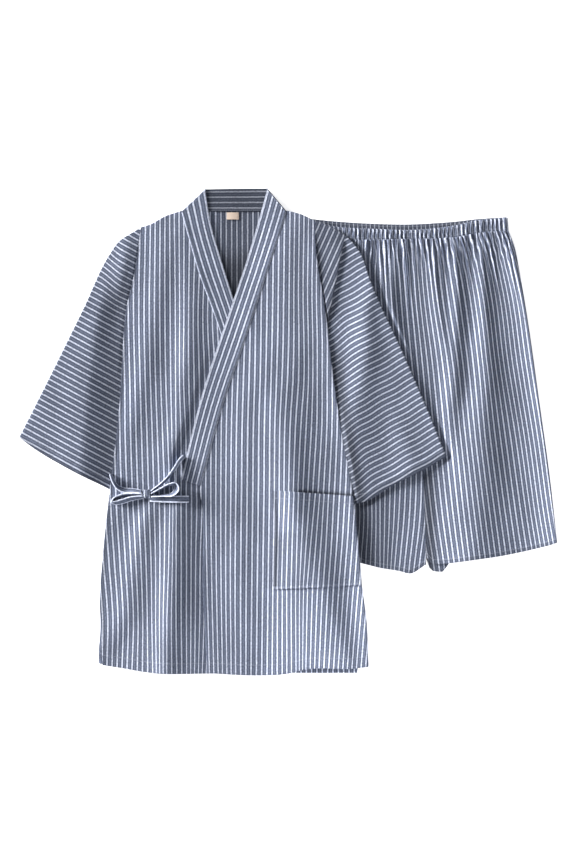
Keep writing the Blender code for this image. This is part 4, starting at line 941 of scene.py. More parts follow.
def tube(seam, fold, front_count, back_count, front_relief, base, sink=None):
    """The outer and inner points of a tube laid flat: a front layer, a turn at its fold, and a back layer.

    seam and fold hold a point for each row. base is the height under the tube. The turn is half an ellipse,
    as high as the front layer stands at the fold.
    """
    radius = CLOTH + LAYER_GAP / 2
    width = np.linalg.norm(fold - seam, axis=1)[:, None]
    out = (fold - seam) / width
    hinge = seam + out * (width - radius)
    shares = np.linspace(0.0, 1.0, front_count)
    front = ruled(seam, hinge, shares)
    floor = base(*xy(front))
    top = floor + 2 * CLOTH + LAYER_GAP + front_relief(*xy(front), shares)
    outer, inner = [np.dstack([front, top])], [np.dstack([front, top - CLOTH])]
    low, high = floor[:, -1:], top[:, -1:]
    for angle in TURN_ANGLES:
        for points, reach, wall in ((outer, radius, 0.0), (inner, LAYER_GAP / 2, CLOTH)):
            upright = (high + low) / 2 + ((high - low) / 2 - wall) * math.sin(angle)
            points.append(np.hstack([hinge + out * reach * math.cos(angle), upright])[:, None])
    shares = np.linspace(1.0, 0.0, back_count)
    back = ruled(seam, hinge, shares)
    if sink is not None:
        back[..., 1] -= sink(shares, len(back))
    floor = base(*xy(back))
    outer.append(np.dstack([back, floor]))
    inner.append(np.dstack([back, floor + CLOTH]))
    return np.concatenate(outer, axis=1), np.concatenate(inner, axis=1)


def edge_painted_shade(shape, front_columns, rows):
    """A tube's painted shade at its pressed edges: the fold's turn and its last rows."""
    painted_light_and_shade = np.zeros(shape[:2])
    painted_light_and_shade[:, front_columns - 1 : front_columns + len(TURN_ANGLES) + 1] = RIM_PAINTED_SHADE
    painted_light_and_shade[-rows:] = RIM_PAINTED_SHADE
    return painted_light_and_shade


def bend_row(outer, inner, row, edge, reach, gap=0.0):
    """Moves a tube's first or last row from a straight line to an edge, and rows near it less and less."""
    line = outer[row]
    ends = line[[line[:, 0].argmin(), line[:, 0].argmax()]]
    shift = height_across(edge, line[:, 0]) + gap - np.interp(line[:, 0], ends[:, 0], ends[:, 1])
    distance = np.abs(np.arange(len(outer)) - (row % len(outer)))
    shift = (1.0 - smooth(distance / reach))[:, None] * shift
    outer[..., 1] += shift
    inner[..., 1] += shift


def slanted(x, y, at, slope, pitch):
    """The weave of straight stripes at a slope: the distance from one of them, in repeats, and along it."""
    dx, dy = x - at[0], y - at[1]
    across = dx * math.sin(slope) + dy * math.cos(slope)
    return spread(across / pitch, dx * math.cos(slope) - dy * math.sin(slope))


def sleeve_rows(side, heights, first_share, fold, sign):
    """A sleeve's seam and fold points: down the armhole, and at the same shares of the folded edge."""
    seam = at_heights(side, heights) + [sign * SEAM_GAP, 0.0]
    seam = seam[int(round(first_share * FINE)) :]
    along = lengths(seam)
    return seam, curve(fold, along / along[-1])


def dress_sleeve(wall, node, seam, fold, painted_light_and_shade, material=None):
    """Finishes a sleeve. Its cut is twice its widest row, by the length down its middle."""
    width = 2 * np.linalg.norm(fold - seam, axis=1)
    flat = float(width.max()), float(lengths((seam + fold) / 2)[-1])
    area = 2 * flat_area(np.stack([seam, fold], axis=1))
    dress(wall, node, area=area, painted_light_and_shade=painted_light_and_shade, material=material)


def cuff_sewing(points, cuff):
    """A cuff's row of stitches, on both layers of a sleeve."""
    (x, y), (end_x, end_y) = cuff[0], cuff[-1]
    return hem_sewing(points, cuff, CUFF_STITCH, math.atan((end_y - y) / (end_x - x)))


def build_right_sleeve():
    """The right sleeve, a wide tube laid flat whose stripes run round the arm."""
    heights = fine_heights("right_side", LAST_BAND_ROW)
    seam, fold = sleeve_rows(RIGHT_SIDE, heights, 0.15, RIGHT_SLEEVE_FOLD, -1.0)

    def front_relief(x, y, share):
        return smooth(share / 0.08) * (relief(x, y, RIGHT_SLEEVE_FOLDS) + settled(x, y + 0.2, UNEVENNESS))

    outer, inner = tube(seam, fold, RIGHT_SLEEVE_COLUMNS, 30, front_relief, support)
    bend_row(outer, inner, -1, RIGHT_CUFF, FINE)
    x, y = xy(outer)
    droop = 0.0085 * smooth((x + 0.338) / 0.040) * smooth((y - 0.195) / 0.080)
    pitch = SLEEVE_PITCH * bpy.context.scene.pajama_cloth.pitch
    weave = slanted(x, y + droop, RIGHT_SLEEVE_STRIPE_AT, RIGHT_SLEEVE_SLOPE, pitch)
    wall = Wall("right_sleeve_cloth", outer, inner, weave, cuff_sewing(outer, RIGHT_CUFF))
    from_armhole = across_at(RIGHT_SIDE, y) - x
    # Painted shade near the armhole below the shoulder, and at the pressed edges.
    near = 1.0 - smooth((from_armhole - 0.012) / 0.035)
    by_armhole = RIGHT_ARMHOLE_PAINTED_SHADE * smooth((0.300 - y) / 0.06) * near
    painted_light_and_shade = np.maximum(by_armhole, edge_painted_shade(outer.shape, RIGHT_SLEEVE_COLUMNS, 2))
    dress_sleeve(wall, "right_sleeve", seam, fold, painted_light_and_shade)


def from_pleat(x, y):
    """The distance to the edge of the left sleeve's tuck, above 0 towards the body."""
    start, end = np.array(PLEAT)
    run = (end - start) / np.linalg.norm(end - start)
    return (x - start[0]) * run[1] - (y - start[1]) * run[0]


def build_left_sleeve():
    """The left sleeve, with a tuck at the armhole whose stripes lean another way."""
    heights = np.append(fine_heights("left_side", LAST_BAND_ROW), LEFT_UNDERARM)
    seam, fold = sleeve_rows(LEFT_SIDE, heights, 0.10, LEFT_SLEEVE_FOLD, 1.0)
    pleat_top, pleat_end = PLEAT[0][1], PLEAT[1][1]

    def front_relief(x, y, share):
        ends = smooth(share / 0.05)
        body_side = from_pleat(x, y)
        drop = smooth(1.0 + body_side / PLEAT_DROP)
        tuck = np.where(body_side > 0, np.exp(-((body_side / 0.022) ** 2)), drop)
        below = smooth((y - pleat_end) / 0.05) * smooth((pleat_top + 0.01 - y) / 0.03)
        beyond = np.where(y > pleat_end - 0.02, smooth(-body_side / 0.010), 1.0)
        folds = relief(x, y, LEFT_SLEEVE_FOLDS) * beyond + settled(x, y, UNEVENNESS)
        seam_lift = 0.0024 * (1.0 - ends) * smooth((0.085 - y) / 0.03)
        return ends * (PLEAT_RISE * tuck * below + folds) + seam_lift

    outer, inner = tube(seam, fold, LEFT_SLEEVE_COLUMNS, 34, front_relief, support)
    bend_row(outer, inner, -1, LEFT_CUFF, FINE)
    x, y = xy(outer)
    cloth = bpy.context.scene.pajama_cloth
    from_armhole = x - across_at(LEFT_SIDE, y)
    droop = 0.0055 * (1.0 - smooth(from_armhole / 0.040)) + 0.0009 * np.sin(90.0 * x + 40.0 * y)
    weave = slanted(x, y + droop, LEFT_SLEEVE_STRIPE_AT, -LEFT_SLEEVE_SLOPE, SLEEVE_PITCH * cloth.pitch)
    wall = Wall("left_sleeve_cloth", outer, inner, weave, cuff_sewing(outer, LEFT_CUFF))
    wall.map("tuck", slanted(x, y, PLEAT_STRIPE_AT, -PLEAT_SLOPE, cloth.pitch))
    above = from_pleat(x, y)
    above[:, LEFT_SLEEVE_COLUMNS:] = -1.0
    wall.attribute("pleat", np.where(y > pleat_end - 0.004, above, -1.0))
    # Painted shade on the tuck, deeper towards its lower end, beside the armhole, on the sleeve's lower part
    # and at the pressed edges.
    shaded = smooth((above + 0.009) / 0.009) * smooth((y - pleat_end + 0.02) / 0.02)
    shaded = shaded * (TUCK_PAINTED_SHADE + TUCK_END_PAINTED_SHADE * smooth((0.245 - y) / 0.04))
    near = 1.0 - smooth((from_armhole - 0.010) / 0.022)
    by_armhole = LEFT_ARMHOLE_PAINTED_SHADE * smooth((0.180 - y) / 0.08) * near
    below = UNDERARM_PAINTED_SHADE * smooth((0.190 - y) / 0.06)
    painted_light_and_shade = np.maximum(np.maximum(shaded, by_armhole) + below, edge_painted_shade(outer.shape, LEFT_SLEEVE_COLUMNS, 1))
    material = striped_cotton("pajama_cotton_tucked", cloth, tucked=True)
    dress_sleeve(wall, "left_sleeve", seam, fold, painted_light_and_shade, material)


def build_collar():
    """The collar band: rows across it, down from the over front's end, round the back neck and down again.

    At each shoulder the band turns over round a half circle, so that its other face is up at the back neck.
    """

    def under_level(x, y):
        crease = (CREASE_LEVEL - FRONT_LEVEL) * smooth((y - CREASE_START) / CREASE_RISE)
        return support(x, y) + FRONT_LEVEL + crease

    def over_level(x, y):
        return under_level(x, y) + (OVER_LEVEL - FRONT_LEVEL) * over_lift(x, y)

    def stretch(seam_edge, free_edge, column, level, creases):
        """The band down one front: its grid, and the height of its underside."""
        heights = fine_heights(column, LAST_BAND_ROW)
        turned = 1.0 - smooth(np.arange(len(heights)) / (BAND_TURN_ROWS * FINE))
        rise = BAND_RISE + (free_edge[0][1] - heights[0] - BAND_RISE) * turned
        share = np.linspace(0.0, 1.0, 17)
        grid = ruled(at_heights(free_edge, heights + rise), at_heights(seam_edge, heights), share)
        low = smooth(np.arange(len(heights)) / (2.0 * FINE))[:, None] * smooth(share)
        return grid, level(*xy(grid)) + low * creases(*xy(grid))

    over, over_low = stretch(LEFT_BAND_SEAM, LEFT_BAND_EDGE, "left_edge", over_level, over_creases)
    under, under_low = stretch(RIGHT_BAND_SEAM, RIGHT_BAND_EDGE, "right_edge", under_level, under_creases)
    radius, hollow = (CREASE_LEVEL + BAND_WALL) / 2, (CREASE_LEVEL - BAND_WALL) / 2
    over[0] -= [radius, 0.0]
    under[0] += [radius, 0.0]
    outer, inner = (list(layer) for layer in lifted(over[::-1], over_low[::-1], BAND_WALL))

    def turn(crease, side, angles):
        middle = support(*crease.T) + radius
        for angle in angles:
            for reach, rows in ((radius, outer), (hollow, inner)):
                moved = crease + [side * reach * math.cos(angle), 0.0]
                rows.append(np.column_stack([moved, middle + reach * math.sin(angle)]))

    turn(over[0], 1.0, TURN_ANGLES)
    for share in np.linspace(0.0, 1.0, NECK_ROWS):
        row = over[0] * (1.0 - share) + under[0] * share
        floor = support(*row.T) + 0.0009 * math.sin(math.pi * share)
        outer.append(np.column_stack([row, floor]))
        inner.append(np.column_stack([row, floor + BAND_WALL]))
    turn(under[0], -1.0, TURN_ANGLES[::-1])
    down = lifted(under, under_low, BAND_WALL)
    outer, inner = np.stack([*outer, *down[0]]), np.stack([*inner, *down[1]])
    along = lengths(outer.mean(1))[:, None]
    share = np.linspace(0.0, 1.0, outer.shape[1])
    width = np.linalg.norm(outer[:, 0] - outer[:, -1], axis=1)[:, None]
    turned = np.arange(len(outer))[:, None]
    inside = smooth((turned - len(over) + 1) / 4.0) * smooth((len(outer) - len(under) - turned) / 4.0)
    weave = spread(4.0 * share - (BAND_STRIPE_START + BAND_STRIPE_SHIFT * inside), along)
    wall = Wall("collar_cloth", outer, inner, weave, spread(along, (1.0 - share) * width - BAND_STITCH))
    # Painted shade on the inner face round the back neck, and in the crease along the over band's free edge.
    painted_light_and_shade = inside * (bpy.context.scene.pajama_cloth.inner_face_painted_shade + BAND_INSIDE_PAINTED_SHADE) + 0.0 * share
    painted_light_and_shade[: len(over), 0] = EDGE_PAINTED_SHADE
    dress(wall, "collar", painted_light_and_shade=painted_light_and_shade)


def build_label():
    """The blank label: a small ribbon below the neck, bowed up a little between its sewn ends."""
    x = LABEL_MIDDLE[0] + LABEL_SIZE[0] * np.linspace(-0.5, 0.5, 23)
    y = LABEL_MIDDLE[1] + LABEL_SIZE[1] * np.linspace(0.5, -0.5, 13)
    grid = np.stack(np.meshgrid(x, y), axis=-1)
    bow = 0.0006 * np.sin(math.pi * (grid[..., 0] - x[0]) / LABEL_SIZE[0])
    height = support(*xy(grid)) + CLOTH + SEAM_GAP + bow
    ends = LABEL_SIZE[0] / 2 - np.abs(grid[..., 0] - LABEL_MIDDLE[0])
    sewing = spread(grid[..., 1], ends - EDGE_STITCH)
    wall = Wall("label_ribbon", *lifted(grid, height, RIBBON_WALL), grid, sewing)
    material = label_ribbon("pajama_label", bpy.context.scene.pajama_cloth.label)
    dress(wall, "neck_label", material=material)


def build_tie(name, node, points):
    """A strip of doubled cloth: a line across it, carried along and turned from flat towards its edge."""
    values = curve(points, np.linspace(0.0, 1.0, TIE_STEPS * (len(points) - 1) + 1))
    middle, tilt, lift = values[:, :2], np.radians(values[:, 2:3]), values[:, 3:]
    run = np.gradient(middle, axis=0)
    run /= np.linalg.norm(run, axis=1)[:, None]
    side = np.column_stack([-run[:, 1], run[:, 0]])
    level, upright = np.cos(tilt), np.sin(tilt)
    reach = TIE_WIDTH / 2
    spots = [middle + side * share * (reach * np.abs(level) + TIE_WALL) for share in (-1, 0, 1)]
    floor = np.max([right_front_height(*spot.T) + CLOTH for spot in spots], axis=0)[:, None]
    height = floor + TIE_CLEARANCE + lift + reach * np.abs(upright) + TIE_WALL / 2 * np.abs(level)
    centre = np.hstack([middle, height])
    width = np.hstack([side * level, upright])[:, None]
    depth = np.hstack([-side * upright, level])[:, None]
    across = np.linspace(-reach, reach, 13)
    along = lengths(centre)[:, None]
    cup = 0.00035 * np.cos(math.pi * across / TIE_WIDTH) * np.sin(along * 260.0)
    sheet = centre[:, None] + width * across[:, None] + depth * cup[..., None]
    wall = Wall(name, sheet + depth * TIE_WALL / 2, sheet - depth * TIE_WALL / 2,
                spread(across / TIE_WIDTH + 0.5, along), spread(along, reach - np.abs(across) - EDGE_STITCH))
    # The ties are painted paler with painted light.
    dress(wall, node, painted_light_and_shade=TIE_PAINTED_LIGHT)


def build_knot():
    """The bow's knot: a strip wound round, as a ring whose radius swells in the middle and dips at wraps."""
    x, y = np.array(KNOT_MIDDLE)[:, None]
    base = float(right_front_height(x, y)[0]) + CLOTH + TIE_CLEARANCE
    angle = np.linspace(0.0, 2 * math.pi, 48, endpoint=False)
    along = np.linspace(-1.0, 1.0, 29)[:, None]
    swell = 0.48 + 0.52 * np.sqrt(1.0 - along**2) - 0.08 * np.cos(6.0 * along + 2.2 * np.sin(angle + 0.6))

    def ring(size):
        beside = y + size * np.cos(angle) * KNOT_SIZE[1] / 2
        height = base + KNOT_SIZE[2] / 2 + size * np.sin(angle) * KNOT_SIZE[2] / 2
        return spread(x + along * KNOT_SIZE[0] / 2, beside, np.maximum(height, base))

    turn = np.linspace(0.0, 1.0, 49)
    weave = spread(along * 0.75 + 0.5, 0.048 * turn)
    wall = Wall("tie_knot_cloth", ring(np.minimum(swell, 1.0)), ring(0.3), weave, ring=True)
    # Painted shade and painted light round the knot's wraps: darker on one side, paler on the other.
    painted_light_and_shade = 0.3 * np.sin(2 * math.pi * turn + 1.0)
    dress(wall, "tie_knot", painted_light_and_shade=painted_light_and_shade)


def gathers(share, count, seed):
    """The elastic's gathers across the waist: a raised cosine whose spacing and depth drift, 0 to 1."""
    turn = 2 * math.pi * share
    uneven = share + 0.004 * np.sin(3 * turn + seed) + 0.003 * np.sin(8.5 * turn + 1.0)
    depth = 0.62 + 0.25 * np.sin(5 * turn + 0.5 + seed) + 0.13 * np.sin(13 * turn)
    return depth * (0.5 - 0.5 * np.cos(2 * math.pi * count * uneven))


def looseness(x, y):
    """How much of its height a crease of the shorts keeps: less under the top, which presses on it."""
    return PRESSED_SHARE + (1.0 - PRESSED_SHARE) * out_from_under(x, y)


def build_waistband():
    """The waistband: a flat ring with a gathered front, folded at both ends and flat underneath."""
    shorts = bpy.context.scene.pajama_shorts
    radius, hollow = CLOTH + LAYER_GAP / 2, LAYER_GAP / 2
    front_share = np.linspace(0.0, 1.0, shorts.gathers * 14 + 1)
    back_share = np.linspace(1.0, 0.0, 121)
    ends = smooth(front_share / 0.01) * smooth((1.0 - front_share) / 0.01)
    outer, inner = [], []

    def strip(top, shares, row):
        points = (curve(WAIST_SEAM, shares) + [0.0, SEAM_GAP]) * (1.0 - row) + curve(top, shares) * row
        return points + np.array([radius, 0.0]) * (1.0 - 2.0 * shares[:, None])

    def turn(hinge, side, reach):
        angle = side * np.radians(np.linspace(60.0, -60.0, 5))
        return spread(hinge[0] + side * reach * np.cos(angle), hinge[1], radius + reach * np.sin(angle))

    for row in np.linspace(0.0, 1.0, 25):
        front, back = strip(WAIST_FRONT_TOP, front_share, row), strip(WAIST_BACK_TOP, back_share, row)
        casing = 0.35 + 0.65 * math.sin(math.pi * min(max(row, 0.02), 0.98)) ** 0.5
        ruffle = casing * gathers(front_share + 0.003 * math.sin(5.0 * row), shorts.gathers, 0.0)
        top = 2 * CLOTH + LAYER_GAP + ends * looseness(*front.T) * shorts.gather_height * ruffle
        for rows, reach, front_z, back_z in ((outer, radius, top, 0.0), (inner, hollow, top - CLOTH, CLOTH)):
            rows.append(np.vstack([
                np.insert(front, 2, front_z, axis=1), turn((front[-1] + back[0]) / 2, 1.0, reach),
                np.insert(back, 2, back_z, axis=1), turn((front[0] + back[-1]) / 2, -1.0, reach),
            ]))
    outer, inner = np.stack(outer), np.stack(inner)
    closed = np.concatenate([outer, outer[:, :1]], axis=1)
    along = lengths(closed[len(closed) // 2])
    stripes = shorts.waist_stripes * along / along[len(front_share) - 1]
    height = closed[..., 1]
    up = height - height[0]
    edge = np.minimum(up, height[-1] - height) - CASING_STITCH
    wall = Wall("waistband_cloth", outer, inner, spread(stripes, up), spread(along, edge), ring=True)
    # Painted shade on the inner face of the waistband's back part, where it shows above the front.
    behind = np.arange(len(along)) > len(front_share) + 4
    painted_light_and_shade = behind * bpy.context.scene.pajama_cloth.inner_face_painted_shade
    dress(wall, "waistband", painted_light_and_shade=painted_light_and_shade)


def leg_painted_light_and_shade(x, y, seam_x, is_left):
    """Painted shade by the inseam and the top's side edge, and painted light by the left sleeve's edge."""
    below_cuff = smooth((-0.055 - y) / 0.03)
    beside = (1.0 - out_from_under(x, y)) * (1.0 - below_cuff)
    from_side = x - across_at(LEFT_SIDE, y)
    painted_light_and_shade = -UNDER_SLEEVE_PAINTED_LIGHT * beside + BY_TOP_PAINTED_SHADE * below_cuff * (1.0 - smooth(from_side / SIDE_REACH))
    if is_left:
        painted_light_and_shade = painted_light_and_shade + INSEAM_PAINTED_SHADE * below_cuff * (1.0 - smooth((x - seam_x - 0.006) / 0.026))
    return painted_light_and_shade


def back_hem_drop(shares, rows):
    """How far down the left leg's back layer shows under its front one, beside the inseam."""
    beside = smooth(shares / BACK_HEM_START) * (1.0 - smooth((shares - BACK_HEM_END) / BACK_HEM_START))
    low = smooth((np.arange(rows) - rows + 1 + BACK_HEM_ROWS) / BACK_HEM_ROWS)
    return BACK_HEM_DROP * low[:, None] * beside


def build_leg(name, node, side, hem, stripes, sink=None):
    """One leg: a tube laid flat from the centre seam and inseam to its folded side, gathered at its top."""
    shorts = bpy.context.scene.pajama_shorts
    rows = np.linspace(0.0, 1.0, LEG_ROWS)
    seam = at_heights(INSEAM, INSEAM[0][1] + rows * (INSEAM[-1][1] - INSEAM[0][1]))
    fold = at_heights(side, side[0][1] + rows * (side[-1][1] - side[0][1]))
    seam += [math.copysign(INSEAM_GAP, fold[0, 0] - seam[0, 0]), 0.0]
    count = shorts.gathers // 2
    columns = count * 10 + 1

    def front_relief(x, y, share):
        down = (seam[0, 1] - y) / GATHER_REACH
        reach = 0.75 + 0.45 * np.sin(2 * math.pi * 4.3 * share + 0.6)
        fade = 1.0 - smooth(down / np.maximum(reach, 0.3))
        wander = 0.010 * np.sin(26.0 * y + 30.0 * share)
        gathered = shorts.gather_height * gathers(share + wander, count, 1.3) * fade
        above = smooth((y - CENTRE_SEAM[-1][1]) / 0.03)
        ends = above + (1.0 - above) * smooth(share / 0.03)
        return ends * looseness(x, y) * (gathered + relief(x, y, SHORTS_FOLDS) + settled(x, y, UNEVENNESS))

    outer, inner = tube(seam, fold, columns, 40, front_relief, lambda x, y: 0.0 * x, sink)
    bend_row(outer, inner, 0, WAIST_SEAM, 20, -SEAM_GAP / 2)
    bend_row(outer, inner, -1, hem, 24)
    x, y = xy(outer)
    weave = weave_of(outer, stripes)
    near_waist = np.exp(-((seam[0, 1] - y) / 0.045).clip(0.0) ** 2)
    sway = 0.20 * np.sin(230.0 * x + 60.0 * y) + 0.16 * np.sin(410.0 * x - 95.0 * y + 1.0)
    weave[..., 0] += near_waist * sway
    wall = Wall(name, outer, inner, weave, hem_sewing(outer, hem, LEG_HEM_STITCH))
    # The leg's painted shade and painted light, with painted shade at its pressed edges.
    painted_light_and_shade = leg_painted_light_and_shade(x, y, seam[:, :1], fold[0, 0] > seam[0, 0])
    width = 2 * np.linalg.norm(fold - seam, axis=1)
    length = float(seam[0, 1] - seam[-1, 1])
    dress(wall, node,
          area=float(width.mean()) * length * 1.04,
          painted_light_and_shade=np.maximum(painted_light_and_shade, LEG_RIM_SHARE * edge_painted_shade(outer.shape, columns, 2)))


class PajamaCloth(bpy.types.PropertyGroup):
    """The cotton's stripes and colours."""

    pitch: bpy.props.FloatProperty(
        name="Stripe repeat", description="Distance from one white stripe to the next", default=0.0096,
        min=0.002, unit="LENGTH", precision=5)
    white_share: bpy.props.FloatProperty(
        name="White share", description="How much of a repeat is white", default=0.25, min=0.05, max=0.9,
        subtype="FACTOR")
    edge_softness: bpy.props.FloatProperty(
        name="Edge softness", description="How softly white meets blue, as a share of a repeat", default=0.07,
        min=0.001, max=0.2, subtype="FACTOR")
    waver: bpy.props.FloatProperty(
        name="Waver", description="How far a stripe's edge wanders, as a share of a repeat", default=0.05,
        min=0.0, max=0.3, subtype="FACTOR")
    thread: bpy.props.FloatProperty(
        name="Thread", description="Distance between two threads", default=0.00045, min=0.0001, unit="LENGTH",
        precision=5)
    crinkle: bpy.props.FloatProperty(
        name="Crinkle", description="Height of the fine crinkle", default=0.0005, min=0.0, unit="LENGTH",
        precision=5)
    mottle: bpy.props.FloatProperty(
        name="Mottle", description="How uneven the dye is", default=1.15, min=0.0, max=2.0, subtype="FACTOR")
    stitch_length: bpy.props.FloatProperty(
        name="Stitch length", description="Length of one stitch with its gap", default=0.0028, min=0.0005,
        unit="LENGTH", precision=5)
    # Painted shade on the inner face where it shows: in the neck's hollow, round the back of the collar and
    # at the back of the waistband.
    inner_face_painted_shade: bpy.props.FloatProperty(
        name="Inside dimness", description="How much darker the inner face is than the outer one",
        default=0.45,
        min=0.0, max=0.9, subtype="FACTOR")
    white: bpy.props.FloatVectorProperty(
        name="White", description="The narrow stripes", default=(0.52, 0.56, 0.68), size=3, subtype="COLOR",
        min=0.0, max=1.0)
    blue: bpy.props.FloatVectorProperty(
        name="Blue", description="The middle of the wide stripes", default=(0.125, 0.145, 0.205), size=3,
        subtype="COLOR", min=0.0, max=1.0)
    dark: bpy.props.FloatVectorProperty(
        name="Dark blue", description="The sides of the wide stripes", default=(0.070, 0.084, 0.130), size=3,
        subtype="COLOR", min=0.0, max=1.0)
    # The label's own pale cream, darkened with painted shade of the neck's hollow that it lies in.
    label: bpy.props.FloatVectorProperty(
        name="Label", description="The ribbon below the neck", default=(0.56, 0.45, 0.37), size=3,
        subtype="COLOR", min=0.0, max=1.0)


class PajamaShorts(bpy.types.PropertyGroup):
    """The shorts' gathers."""

    gathers: bpy.props.IntProperty(
        name="Gathers", description="Gathers across the front of the waist", default=42, min=4, max=120)
    gather_height: bpy.props.FloatProperty(
        name="Gather height", description="Height of a gather", default=0.0029, min=0.0, unit="LENGTH",
        precision=5)
    waist_stripes: bpy.props.FloatProperty(
        name="Waist stripes", description="Stripes across the front of the waistband", default=51.0, min=1.0)


class PajamaStage(bpy.types.PropertyGroup):
    """The floor and the light."""

    floor: bpy.props.FloatVectorProperty(
        name="Floor", description="The floor's colour", default=(0.94, 0.94, 0.94), size=3, subtype="COLOR",
        min=0.0, max=1.0)
    sun: bpy.props.FloatProperty(
        name="Light", description="Strength of the light from the upper left", default=13.4, min=0.0)
    sun_height: bpy.props.FloatProperty(
        name="Light height", description="Angle of the light above the floor", default=math.radians(12.5),
        subtype="ANGLE")
    softbox: bpy.props.FloatProperty(
        name="Softbox", description="Power of the softbox beyond the hem", default=14.0, min=0.0,
        unit="POWER")
    table: bpy.props.FloatProperty(
        name="Light table", description="Strength of the light from under the floor's paper", default=0.70,
        min=0.0)
    fill: bpy.props.FloatProperty(
        name="Fill", description="Strength of the light from all round", default=0.28, min=0.0)


class PAJAMA_OT_back(bpy.types.Operator):
    """Build the back panel"""

    bl_idname = "pajama.back"
    bl_label = "Back Panel"

    def execute(self, context):
        build_back_panel()
        return {"FINISHED"}


class PAJAMA_OT_fronts(bpy.types.Operator):
    """Build the under front and the over front"""

    bl_idname = "pajama.fronts"
    bl_label = "Fronts"

    def execute(self, context):
        build_right_front()
        build_left_front()
        return {"FINISHED"}


class PAJAMA_OT_pocket(bpy.types.Operator):
    """Build the patch pocket"""

    bl_idname = "pajama.pocket"
    bl_label = "Patch Pocket"

    def execute(self, context):
        build_pocket()
        return {"FINISHED"}


class PAJAMA_OT_sleeves(bpy.types.Operator):
    """Build both sleeves"""

    bl_idname = "pajama.sleeves"
    bl_label = "Sleeves"

    def execute(self, context):
        build_right_sleeve()
        build_left_sleeve()
        return {"FINISHED"}


class PAJAMA_OT_collar(bpy.types.Operator):
    """Build the collar band"""

    bl_idname = "pajama.collar"
    bl_label = "Collar Band"

    def execute(self, context):
        build_collar()
        return {"FINISHED"}


class PAJAMA_OT_label(bpy.types.Operator):
    """Build the blank neck label"""

    bl_idname = "pajama.label"
    bl_label = "Neck Label"

    def execute(self, context):
        build_label()
        return {"FINISHED"}


class PAJAMA_OT_bow(bpy.types.Operator):
    """Build the ties, the bow's loops and ends, and its knot"""

    bl_idname = "pajama.bow"
    bl_label = "Ties and Bow"

    def execute(self, context):
        build_tie("side_tie_cloth", "tie_side", SIDE_TIE)
        build_tie("band_tie_cloth", "tie_band", BAND_TIE)
        build_tie("right_loop_cloth", "bow_right_loop", RIGHT_LOOP)
        build_tie("left_loop_cloth", "bow_left_loop", LEFT_LOOP)
        build_tie("front_end_cloth", "bow_front_end", FRONT_END)
        build_tie("back_end_cloth", "bow_back_end", BACK_END)
        build_knot()
        return {"FINISHED"}


class PAJAMA_OT_waistband(bpy.types.Operator):
    """Build the shorts' gathered waistband"""

    bl_idname = "pajama.waistband"
    bl_label = "Waistband"

    def execute(self, context):
        build_waistband()
        return {"FINISHED"}


class PAJAMA_OT_legs(bpy.types.Operator):
    """Build both legs of the shorts"""

    bl_idname = "pajama.legs"
    bl_label = "Legs"

    def execute(self, context):
        build_leg("right_leg_cloth", "right_leg", RIGHT_LEG_SIDE, RIGHT_LEG_HEM, RIGHT_LEG_STRIPES)
        build_leg("left_leg_cloth", "left_leg", LEFT_LEG_SIDE, LEFT_LEG_HEM, LEFT_LEG_STRIPES, back_hem_drop)
        return {"FINISHED"}


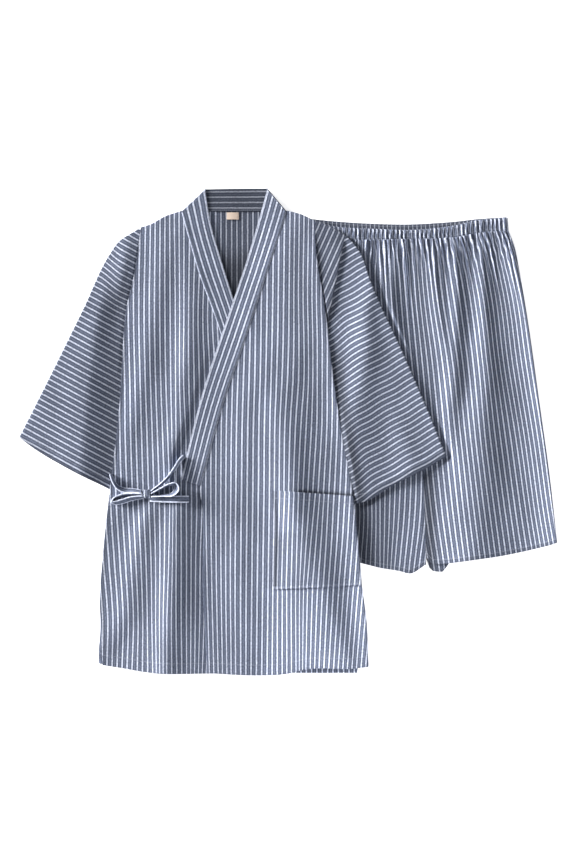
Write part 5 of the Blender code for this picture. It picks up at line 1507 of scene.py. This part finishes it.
class PAJAMA_OT_stage(bpy.types.Operator):
    """Build the floor, the light and the camera"""

    bl_idname = "pajama.stage"
    bl_label = "Stage"

    def execute(self, context):
        stage = context.scene.pajama_stage
        floor = bpy.data.meshes.new("floor")
        far = FLOOR_REACH
        corners = [(-far, -far), (far, -far), (far, far), (-far, far)]
        floor.from_pydata([(x, y, -FLOOR_GAP) for x, y in corners], [], [(0, 1, 2, 3)])
        floor.materials.append(floor_paper("floor_paper", tuple(stage.floor), stage.table))
        put("floor", floor)
        sun = bpy.data.lights.new("window_light", "SUN")
        sun.energy = stage.sun
        sun.angle = SUN_SIZE
        sun.color = (1.0, 0.985, 0.965)
        put("window_light", sun).rotation_euler = (math.pi / 2 - stage.sun_height, 0.0, SUN_BEARING)
        softbox = bpy.data.lights.new("softbox", "AREA")
        softbox.energy = stage.softbox
        softbox.size = 1.0
        box = put("softbox", softbox)
        box.location = SOFTBOX_PLACE
        box.rotation_euler = Vector(SOFTBOX_AIM).to_track_quat("-Z", "Y").to_euler()
        world = bpy.data.worlds.new("soft_room")
        world.use_nodes = True
        background = world.node_tree.nodes["Background"]
        background.inputs["Color"].default_value = (0.93, 0.96, 1.0, 1.0)
        background.inputs["Strength"].default_value = stage.fill
        context.scene.world = world
        camera = bpy.data.cameras.new("camera")
        camera.sensor_width = SENSOR_WIDTH
        camera.lens = SENSOR_WIDTH * CAMERA_HEIGHT / (FRAME_PIXELS[1] * PIXEL)
        camera.clip_end = 50.0
        camera.dof.use_dof = False
        eye = put("camera", camera)
        x = (FRAME_PIXELS[0] / 2 - PAGE_PIXEL[0]) * PIXEL - MIDDLE[0]
        y = (PAGE_PIXEL[1] - FRAME_PIXELS[1] / 2) * PIXEL - MIDDLE[1]
        eye.location = (x, y, CAMERA_HEIGHT)
        context.scene.camera = eye
        context.scene.view_settings.view_transform = "Standard"
        return {"FINISHED"}


class PAJAMA_PT_panel(bpy.types.Panel):
    """Lists the pieces, with the sizes and colours that they are made from"""

    bl_label = "Pajama Set"
    bl_space_type = "VIEW_3D"
    bl_region_type = "UI"
    bl_category = "Pajama Set"

    def draw(self, context):
        for group in (context.scene.pajama_cloth, context.scene.pajama_shorts, context.scene.pajama_stage):
            box = self.layout.box()
            for name in group.bl_rna.properties.keys():
                if name not in {"rna_type", "name"}:
                    box.prop(group, name)
        for operator in OPERATORS:
            self.layout.operator(operator.bl_idname)


OPERATORS = (
    PAJAMA_OT_back,
    PAJAMA_OT_fronts,
    PAJAMA_OT_pocket,
    PAJAMA_OT_sleeves,
    PAJAMA_OT_collar,
    PAJAMA_OT_label,
    PAJAMA_OT_bow,
    PAJAMA_OT_waistband,
    PAJAMA_OT_legs,
    PAJAMA_OT_stage,
)
CLASSES = (PajamaCloth, PajamaShorts, PajamaStage, *OPERATORS, PAJAMA_PT_panel)


def register():
    for cls in CLASSES:
        bpy.utils.register_class(cls)
    bpy.types.Scene.pajama_cloth = bpy.props.PointerProperty(type=PajamaCloth)
    bpy.types.Scene.pajama_shorts = bpy.props.PointerProperty(type=PajamaShorts)
    bpy.types.Scene.pajama_stage = bpy.props.PointerProperty(type=PajamaStage)


def unregister():
    del bpy.types.Scene.pajama_stage
    del bpy.types.Scene.pajama_shorts
    del bpy.types.Scene.pajama_cloth
    for cls in reversed(CLASSES):
        bpy.utils.unregister_class(cls)


def main():
    register()
    for operator in OPERATORS:
        group, name = operator.bl_idname.split(".")
        getattr(getattr(bpy.ops, group), name)()


if __name__ == "__main__":
    main()
